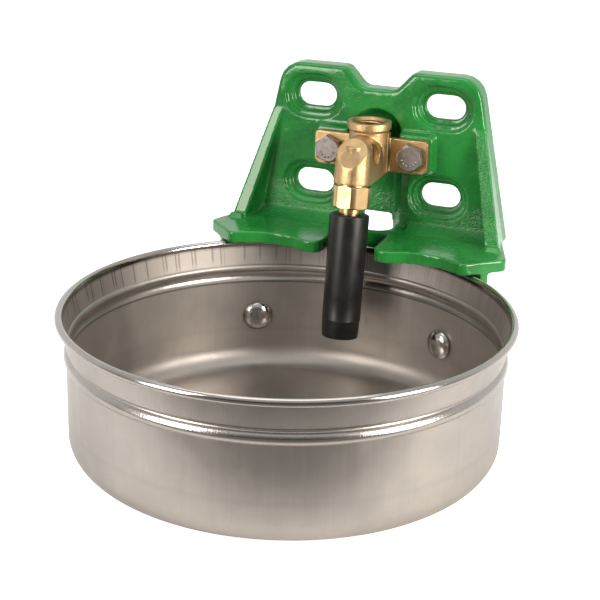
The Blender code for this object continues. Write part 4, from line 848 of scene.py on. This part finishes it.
# Outlet nut
# A brass hexagon, turned at both ends, that screws into the outlet chamber and holds the ball seat.
OUTLET_FACE = 0.006
NUT_FLATS = 0.0242
NUT_TURNED = 0.0130
NUT_HIGH = OUTLET_FACE - 0.0010
NUT_LOW = NUT_HIGH - 0.0146
NUT_CHAMFER = 0.0008
NUT_ANGLE = 25.3
NUT_MOUTH = 0.0096
NUT_BORE = 0.0093
SPIGOT = 0.0109
SPIGOT_TOP = OUTLET_FACE + 0.0101


def corner_radius(flats):
    """How far a hexagon's corners stand from its middle, by its width across flats."""
    return flats / 2.0 / math.cos(math.radians(30.0))


def hexagon(flats, low, high, turn, place):
    """A six-sided bar whose first flat is turned from -Y by an angle in degrees."""
    bm = bmesh.new()
    raised = Matrix.Translation((0.0, 0.0, (low + high) / 2.0))
    middle = raised @ Matrix.Rotation(math.radians(turn), 4, "Z")
    corner = corner_radius(flats)
    bmesh.ops.create_cone(
        bm, cap_ends=True, segments=6, radius1=corner, radius2=corner, depth=high - low,
        matrix=place @ middle,
    )
    return piece("hexagon_bar", bm)


nut_profile = [
    (SPIGOT, SPIGOT_TOP), (SPIGOT, NUT_HIGH), (NUT_TURNED - NUT_CHAMFER, NUT_HIGH),
    (NUT_TURNED - NUT_CHAMFER * 0.4, NUT_HIGH - NUT_CHAMFER * 0.35), (NUT_TURNED, NUT_HIGH - NUT_CHAMFER),
    (NUT_TURNED, NUT_LOW + NUT_CHAMFER), (NUT_TURNED - NUT_CHAMFER * 0.4, NUT_LOW + NUT_CHAMFER * 0.35),
    (NUT_TURNED - NUT_CHAMFER, NUT_LOW), (NUT_MOUTH, NUT_LOW), (NUT_MOUTH - 0.0006, NUT_LOW + 0.0012),
    (NUT_BORE, 0.0), (NUT_BORE, SPIGOT_TOP),
]
nut = piece("outlet_hexagon", spun(nut_profile, 96, OUTLET, ring=True), 20.0)
carve(nut, hexagon(NUT_FLATS, NUT_LOW - 0.01, SPIGOT_TOP + 0.01, NUT_ANGLE, OUTLET), "INTERSECT")
settle(nut, 12.0)
nut.data.materials.clear()
nut.data.materials.append(TURNED)
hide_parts("outlet_nut")
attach(nut, "drinker")

# Outlet tube
# Turned brass: a ball head that rocks in the nut, a neck, and the collar that the sleeve is
# pushed up to.
BALL = 0.0076
HEAD_FLAT = 0.0035
NECK = 0.0055
COLLAR = 0.00765
COLLAR_HIGH = -0.0102
COLLAR_LOW = -0.0136
SHANK = 0.0065
SHANK_END = -0.0904
TUBE_BORE = 0.0035
HEAD_BORE = 0.0025

ball = []
neck_drop = math.sqrt(BALL ** 2 - NECK ** 2)
for i in range(19):
    z = HEAD_FLAT - (HEAD_FLAT + neck_drop) * i / 18.0
    ball.append((math.sqrt(BALL ** 2 - z ** 2), z))
tube_profile = ball + [
    (NECK, COLLAR_HIGH), (COLLAR - 0.0004, COLLAR_HIGH), (COLLAR, COLLAR_HIGH - 0.0004),
    (COLLAR, COLLAR_LOW + 0.0003), (COLLAR - 0.0003, COLLAR_LOW), (SHANK, COLLAR_LOW),
    (SHANK, SHANK_END + 0.0004), (SHANK - 0.0004, SHANK_END), (TUBE_BORE, SHANK_END),
    (TUBE_BORE, -0.005), (HEAD_BORE, -0.004), (HEAD_BORE, HEAD_FLAT),
]
tube = piece("ball_tube", spun(tube_profile, 80, OUTLET, ring=True))
tube.data.materials.append(TURNED)
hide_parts("outlet_tube")
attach(tube, "tube")

# Rubber sleeve
# A moulded black rubber sleeve, pushed over the tube so that the animal's muzzle meets nothing hard.
# Its tip is a little slimmer below a mould line, and its skin is dusty with a few pale specks.
SLEEVE_HIGH = -0.0144
SLEEVE_LOW = -0.0989
SLEEVE_TOP = 0.0134
SLEEVE_SEAM = 0.0130
SLEEVE_TIP = 0.0124
SEAM = -0.0862
SLEEVE_BORE = 0.0068
SLEEVE_EDGE = 0.0014
TIP_EDGE = 0.0013

sleeve_profile = [(SLEEVE_BORE, SLEEVE_HIGH)] + arc(
    SLEEVE_TOP - SLEEVE_EDGE, SLEEVE_HIGH - SLEEVE_EDGE, SLEEVE_EDGE, 90.0, 0.0, 8,
)
for share in (0.2, 0.4, 0.6, 0.8):
    swell = 0.00012 * math.sin(math.pi * share)
    sleeve_profile.append((
        SLEEVE_TOP + (SLEEVE_SEAM - SLEEVE_TOP) * share - swell,
        SLEEVE_HIGH - SLEEVE_EDGE + (SEAM - SLEEVE_HIGH + SLEEVE_EDGE) * share,
    ))
sleeve_profile += [
    (SLEEVE_SEAM, SEAM + 0.0004), (SLEEVE_SEAM + 0.00012, SEAM + 0.00015), (SLEEVE_SEAM - 0.00005, SEAM),
    (SLEEVE_SEAM - 0.0002, SEAM - 0.0002),
]
sleeve_profile += arc(SLEEVE_TIP - TIP_EDGE, SLEEVE_LOW + TIP_EDGE, TIP_EDGE, 0.0, -90.0, 6)
sleeve_profile += [(SLEEVE_BORE + 0.0005, SLEEVE_LOW), (SLEEVE_BORE, SLEEVE_LOW + 0.0005)]
sleeve = piece("muzzle_sleeve", spun(sleeve_profile, 112, OUTLET, ring=True))


def black_rubber():
    made, tree, shader, where = finish("black_rubber", (0.009, 0.009, 0.0095), 0.40, 0.0)
    shader.inputs["Specular IOR Level"].default_value = 0.42
    bloom = place_group(tree, SMUDGES, where, 90.0)
    tone = blend_colour(tree, bloom, (0.005, 0.005, 0.0055), (0.010, 0.010, 0.0105))
    speck = tree.nodes.new("ShaderNodeTexVoronoi")
    speck.inputs["Scale"].default_value = 210.0
    tree.links.new(where, speck.inputs["Vector"])
    sparse = tree.nodes.new("ShaderNodeTexNoise")
    sparse.inputs["Scale"].default_value = 120.0
    tree.links.new(where, sparse.inputs["Vector"])
    dot = product(
        tree, remap(tree, speck.outputs["Distance"], 0.10, 0.04),
        remap(tree, sparse.outputs["Fac"], 0.62, 0.66),
    )
    tone = blend_colour(tree, product(tree, dot, 0.7), tone, (0.30, 0.28, 0.25))
    tree.links.new(tone, shader.inputs["Base Color"])
    tree.links.new(remap(tree, bloom, 0.0, 1.0, 0.34, 0.44), shader.inputs["Roughness"])
    dent(tree, shader, stretched_noise(tree, where, 1300.0, 1300.0), 0.00006)
    return made


RUBBER = black_rubber()
sleeve.data.materials.append(RUBBER)
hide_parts("rubber_sleeve")
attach(sleeve, "tube")

# Valve bolts
# Two M10 hexagon bolts, zinc plated, hold the valve's flange to the bracket's pad. The forged heads
# have a chamfered crown, and a few raised grade dots instead of a maker's letters.
VALVE_BOLT_X = 0.0293
VALVE_BOLT_Z = 0.1542
BOLT_FLATS = 0.017
BOLT_RADIUS = 0.005
HEAD_BACK = 0.1497
HEAD_THICK = 0.0062
HEAD_CHAMFER = 0.0013
BOLT_THREAD_DEPTH = 0.0006
BOLT_END = HEAD_BACK + 0.025
BOLT_PITCH = 0.0015
DOT_CIRCLE = 0.0050
DOT_RADIUS = 0.0008
HEAD_TURNS = {"left": -8.0, "right": -13.0}


def zinc_plate():
    made, tree, shader, where = finish("zinc_plate", (0.34, 0.31, 0.30), 0.36, 1.0)
    patches = place_group(tree, SMUDGES, where, 300.0)
    tone = blend_colour(tree, patches, (0.37, 0.34, 0.325), (0.25, 0.23, 0.22))
    tree.links.new(tone, shader.inputs["Base Color"])
    tree.links.new(remap(tree, patches, 0.0, 1.0, 0.29, 0.39), shader.inputs["Roughness"])
    dent(tree, shader, stretched_noise(tree, where, 1500.0, 1500.0), 0.00005)
    return made


def valve_bolt_place(side):
    """The frame of one valve bolt: its Z runs backwards through the bracket's pad."""
    turn = Matrix.Rotation(math.radians(-90.0), 4, "X")
    return Matrix.Translation((side * VALVE_BOLT_X, 0.0, VALVE_BOLT_Z)) @ turn


ZINC = zinc_plate()
head_face = HEAD_BACK - HEAD_THICK
head_corner = corner_radius(BOLT_FLATS)
crown = BOLT_FLATS / 2.0 * 0.95
for side, word in ((-1, "left"), (1, "right")):
    along = valve_bolt_place(side)
    head_profile = [
        (0.0, HEAD_BACK), (head_corner + 0.0005, HEAD_BACK),
        (head_corner + 0.0005, head_face + HEAD_CHAMFER),
        (crown, head_face), (0.0, head_face),
    ]
    head = piece("bolt_head", spun(head_profile, 96, along))
    bar = hexagon(BOLT_FLATS, head_face - 0.01, HEAD_BACK + 0.01, HEAD_TURNS[word], along)
    carve(head, bar, "INTERSECT")
    core = BOLT_RADIUS - BOLT_THREAD_DEPTH
    shank_profile = [
        (0.0, HEAD_BACK - 0.0005), (BOLT_RADIUS, HEAD_BACK - 0.0005), (BOLT_RADIUS, HEAD_BACK + 0.004),
        (core, HEAD_BACK + 0.0045), (core, BOLT_END - 0.001), (core - 0.001, BOLT_END), (0.0, BOLT_END),
    ]
    shapes = [spun(shank_profile, 48, along)]
    turns = (BOLT_END - HEAD_BACK - 0.0075) / BOLT_PITCH
    shapes.append(ridge(core, BOLT_THREAD_DEPTH, BOLT_PITCH, HEAD_BACK + 0.0055, turns, along))
    for i in range(6):
        angle = math.radians(-165.0 + 30.0 * i)
        dot = bmesh.new()
        spot = Matrix.Translation((DOT_CIRCLE * math.cos(angle), -DOT_CIRCLE * math.sin(angle), head_face))
        bmesh.ops.create_uvsphere(
            dot, u_segments=16, v_segments=10, radius=DOT_RADIUS, matrix=along @ spot,
        )
        shapes.append(dot)
    head_bm = bmesh.new()
    head_bm.from_mesh(head.data)
    bpy.data.objects.remove(head)
    bolt = joined(f"hexagon_bolt_{word}", [head_bm] + shapes, 25.0)
    bolt.data.materials.append(ZINC)
    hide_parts(f"valve_bolt_{word}")
    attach(bolt, "drinker")

# Nuts and washers
# Zinc-plated nuts on flat washers: two in the recesses behind the valve pad, and two behind the
# skirt. The nuts are chamfered on both faces. Each is its start along the bolt, its thickness, its
# outer radius or width across flats, and the radius of its bore.
VALVE_WASHER = (0.1629, 0.002, 0.010, 0.0053)
VALVE_NUT = (0.1652, 0.008, BOLT_FLATS, 0.0053)
BOWL_WASHER = (0.1529, 0.0016, 0.008, 0.0043)
BOWL_NUT = (0.1548, 0.0065, 0.013, 0.0043)


def flat_ring(name, start, thick, outer, inner, place):
    edge = 0.00025
    profile = [
        (inner, start), (inner, start + thick), (outer - edge, start + thick),
        (outer, start + thick - edge), (outer, start + edge), (outer - edge, start),
    ]
    return piece(name, spun(profile, 48, place, ring=True), 50.0)


def hexagon_nut(name, start, height, flats, bore, place):
    corner = corner_radius(flats)
    face = flats / 2.0 * 0.96
    drop = (corner - face) * math.tan(math.radians(30.0))
    profile = [
        (bore, start + 0.0005), (bore, start + height - 0.0005), (bore + 0.0005, start + height),
        (face, start + height), (corner + 0.0002, start + height - drop),
        (corner + 0.0002, start + drop), (face, start), (bore + 0.0005, start),
    ]
    nut = piece(name, spun(profile, 72, place, ring=True))
    carve(nut, hexagon(flats, start - height, start + 2.0 * height, 0.0, place), "INTERSECT")
    settle(nut, 25.0)
    return nut


def from_slot(obj, paint, node, body="drinker"):
    obj.data.materials.clear()
    obj.data.materials.append(paint)
    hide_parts(node)
    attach(obj, body)


for side, word in ((-1, "left"), (1, "right")):
    pad = valve_bolt_place(side)
    skirt = outward(side)
    pad_washer = flat_ring(f"pad_washer_{word}", *VALVE_WASHER, pad)
    from_slot(pad_washer, ZINC, f"valve_washer_{word}")
    pad_nut = hexagon_nut(f"pad_nut_{word}", *VALVE_NUT, pad)
    from_slot(pad_nut, ZINC, f"valve_nut_{word}")
    skirt_washer = flat_ring(f"skirt_washer_{word}", *BOWL_WASHER, skirt)
    from_slot(skirt_washer, ZINC, f"bowl_washer_{word}")
    skirt_nut = hexagon_nut(f"skirt_nut_{word}", *BOWL_NUT, skirt)
    from_slot(skirt_nut, ZINC, f"bowl_nut_{word}")

# Flow plug
# A brass plug across the passage, in a round recess in the body's right side. Its slot takes a
# screwdriver, which sets how fast the bowl fills, and a rubber ring seals its stem.
PLUG_PLACE = Matrix.Translation((0.0, 0.1265, 0.1594)) @ Matrix.Rotation(math.radians(90.0), 4, "Y")
PLUG_HEAD = 0.0066
PLUG_START = 0.0072
PLUG_FACE = 0.0100
PLUG_STEM = 0.0033
PLUG_STEM_END = -0.0053
SLOT_WIDTH = 0.0014
SLOT_DEPTH = 0.0011
SLOT_TURN = math.radians(102.0)

plug_profile = [
    (0.0, PLUG_FACE), (PLUG_HEAD - 0.0009, PLUG_FACE), (PLUG_HEAD - 0.0003, PLUG_FACE - 0.0002),
    (PLUG_HEAD, PLUG_FACE - 0.0006), (PLUG_HEAD, PLUG_START), (PLUG_STEM, PLUG_START),
    (PLUG_STEM, PLUG_STEM_END), (0.0, PLUG_STEM_END),
]
plug = piece("flow_screw", spun(plug_profile, 64, PLUG_PLACE))
slot_bm = bmesh.new()
slot_size = Matrix.Diagonal((SLOT_WIDTH, 2.4 * PLUG_HEAD, 2.0 * SLOT_DEPTH, 1.0))
slot_place = PLUG_PLACE @ Matrix.Rotation(SLOT_TURN, 4, "Z") @ Matrix.Translation((0.0, 0.0, PLUG_FACE))
bmesh.ops.create_cube(slot_bm, size=1.0, matrix=slot_place @ slot_size)
carve(plug, piece("slot_tool", slot_bm))
from_slot(plug, TURNED, "flow_plug", "flow_plug")

# Inside the valve
# Seat and pivot rings in white acetal, a brass plunger with its rubber seal under a steel spring, and
# the rubber rings and seals: none of them shows, and each keeps its own solid.


def white_acetal():
    made, tree, shader, where = finish("white_acetal", (0.80, 0.79, 0.75), 0.42, 0.0)
    shade = place_group(tree, SMUDGES, where, 200.0)
    tone = blend_colour(tree, shade, (0.82, 0.81, 0.77), (0.72, 0.70, 0.65))
    tree.links.new(tone, shader.inputs["Base Color"])
    dent(tree, shader, stretched_noise(tree, where, 1200.0, 1200.0), 0.00003)
    return made


ACETAL = white_acetal()
INNER = {
    "seat_ring": ACETAL, "pivot_ring": ACETAL, "plunger": TURNED, "plunger_seal": RUBBER,
    "valve_spring": ZINC, "flow_plug_ring": RUBBER, "bowl_seal_left": RUBBER, "bowl_seal_right": RUBBER,
}
for node, paint in INNER.items():
    solid = frame["nodes"][node]
    solid.data.materials.clear()
    solid.data.materials.append(paint)
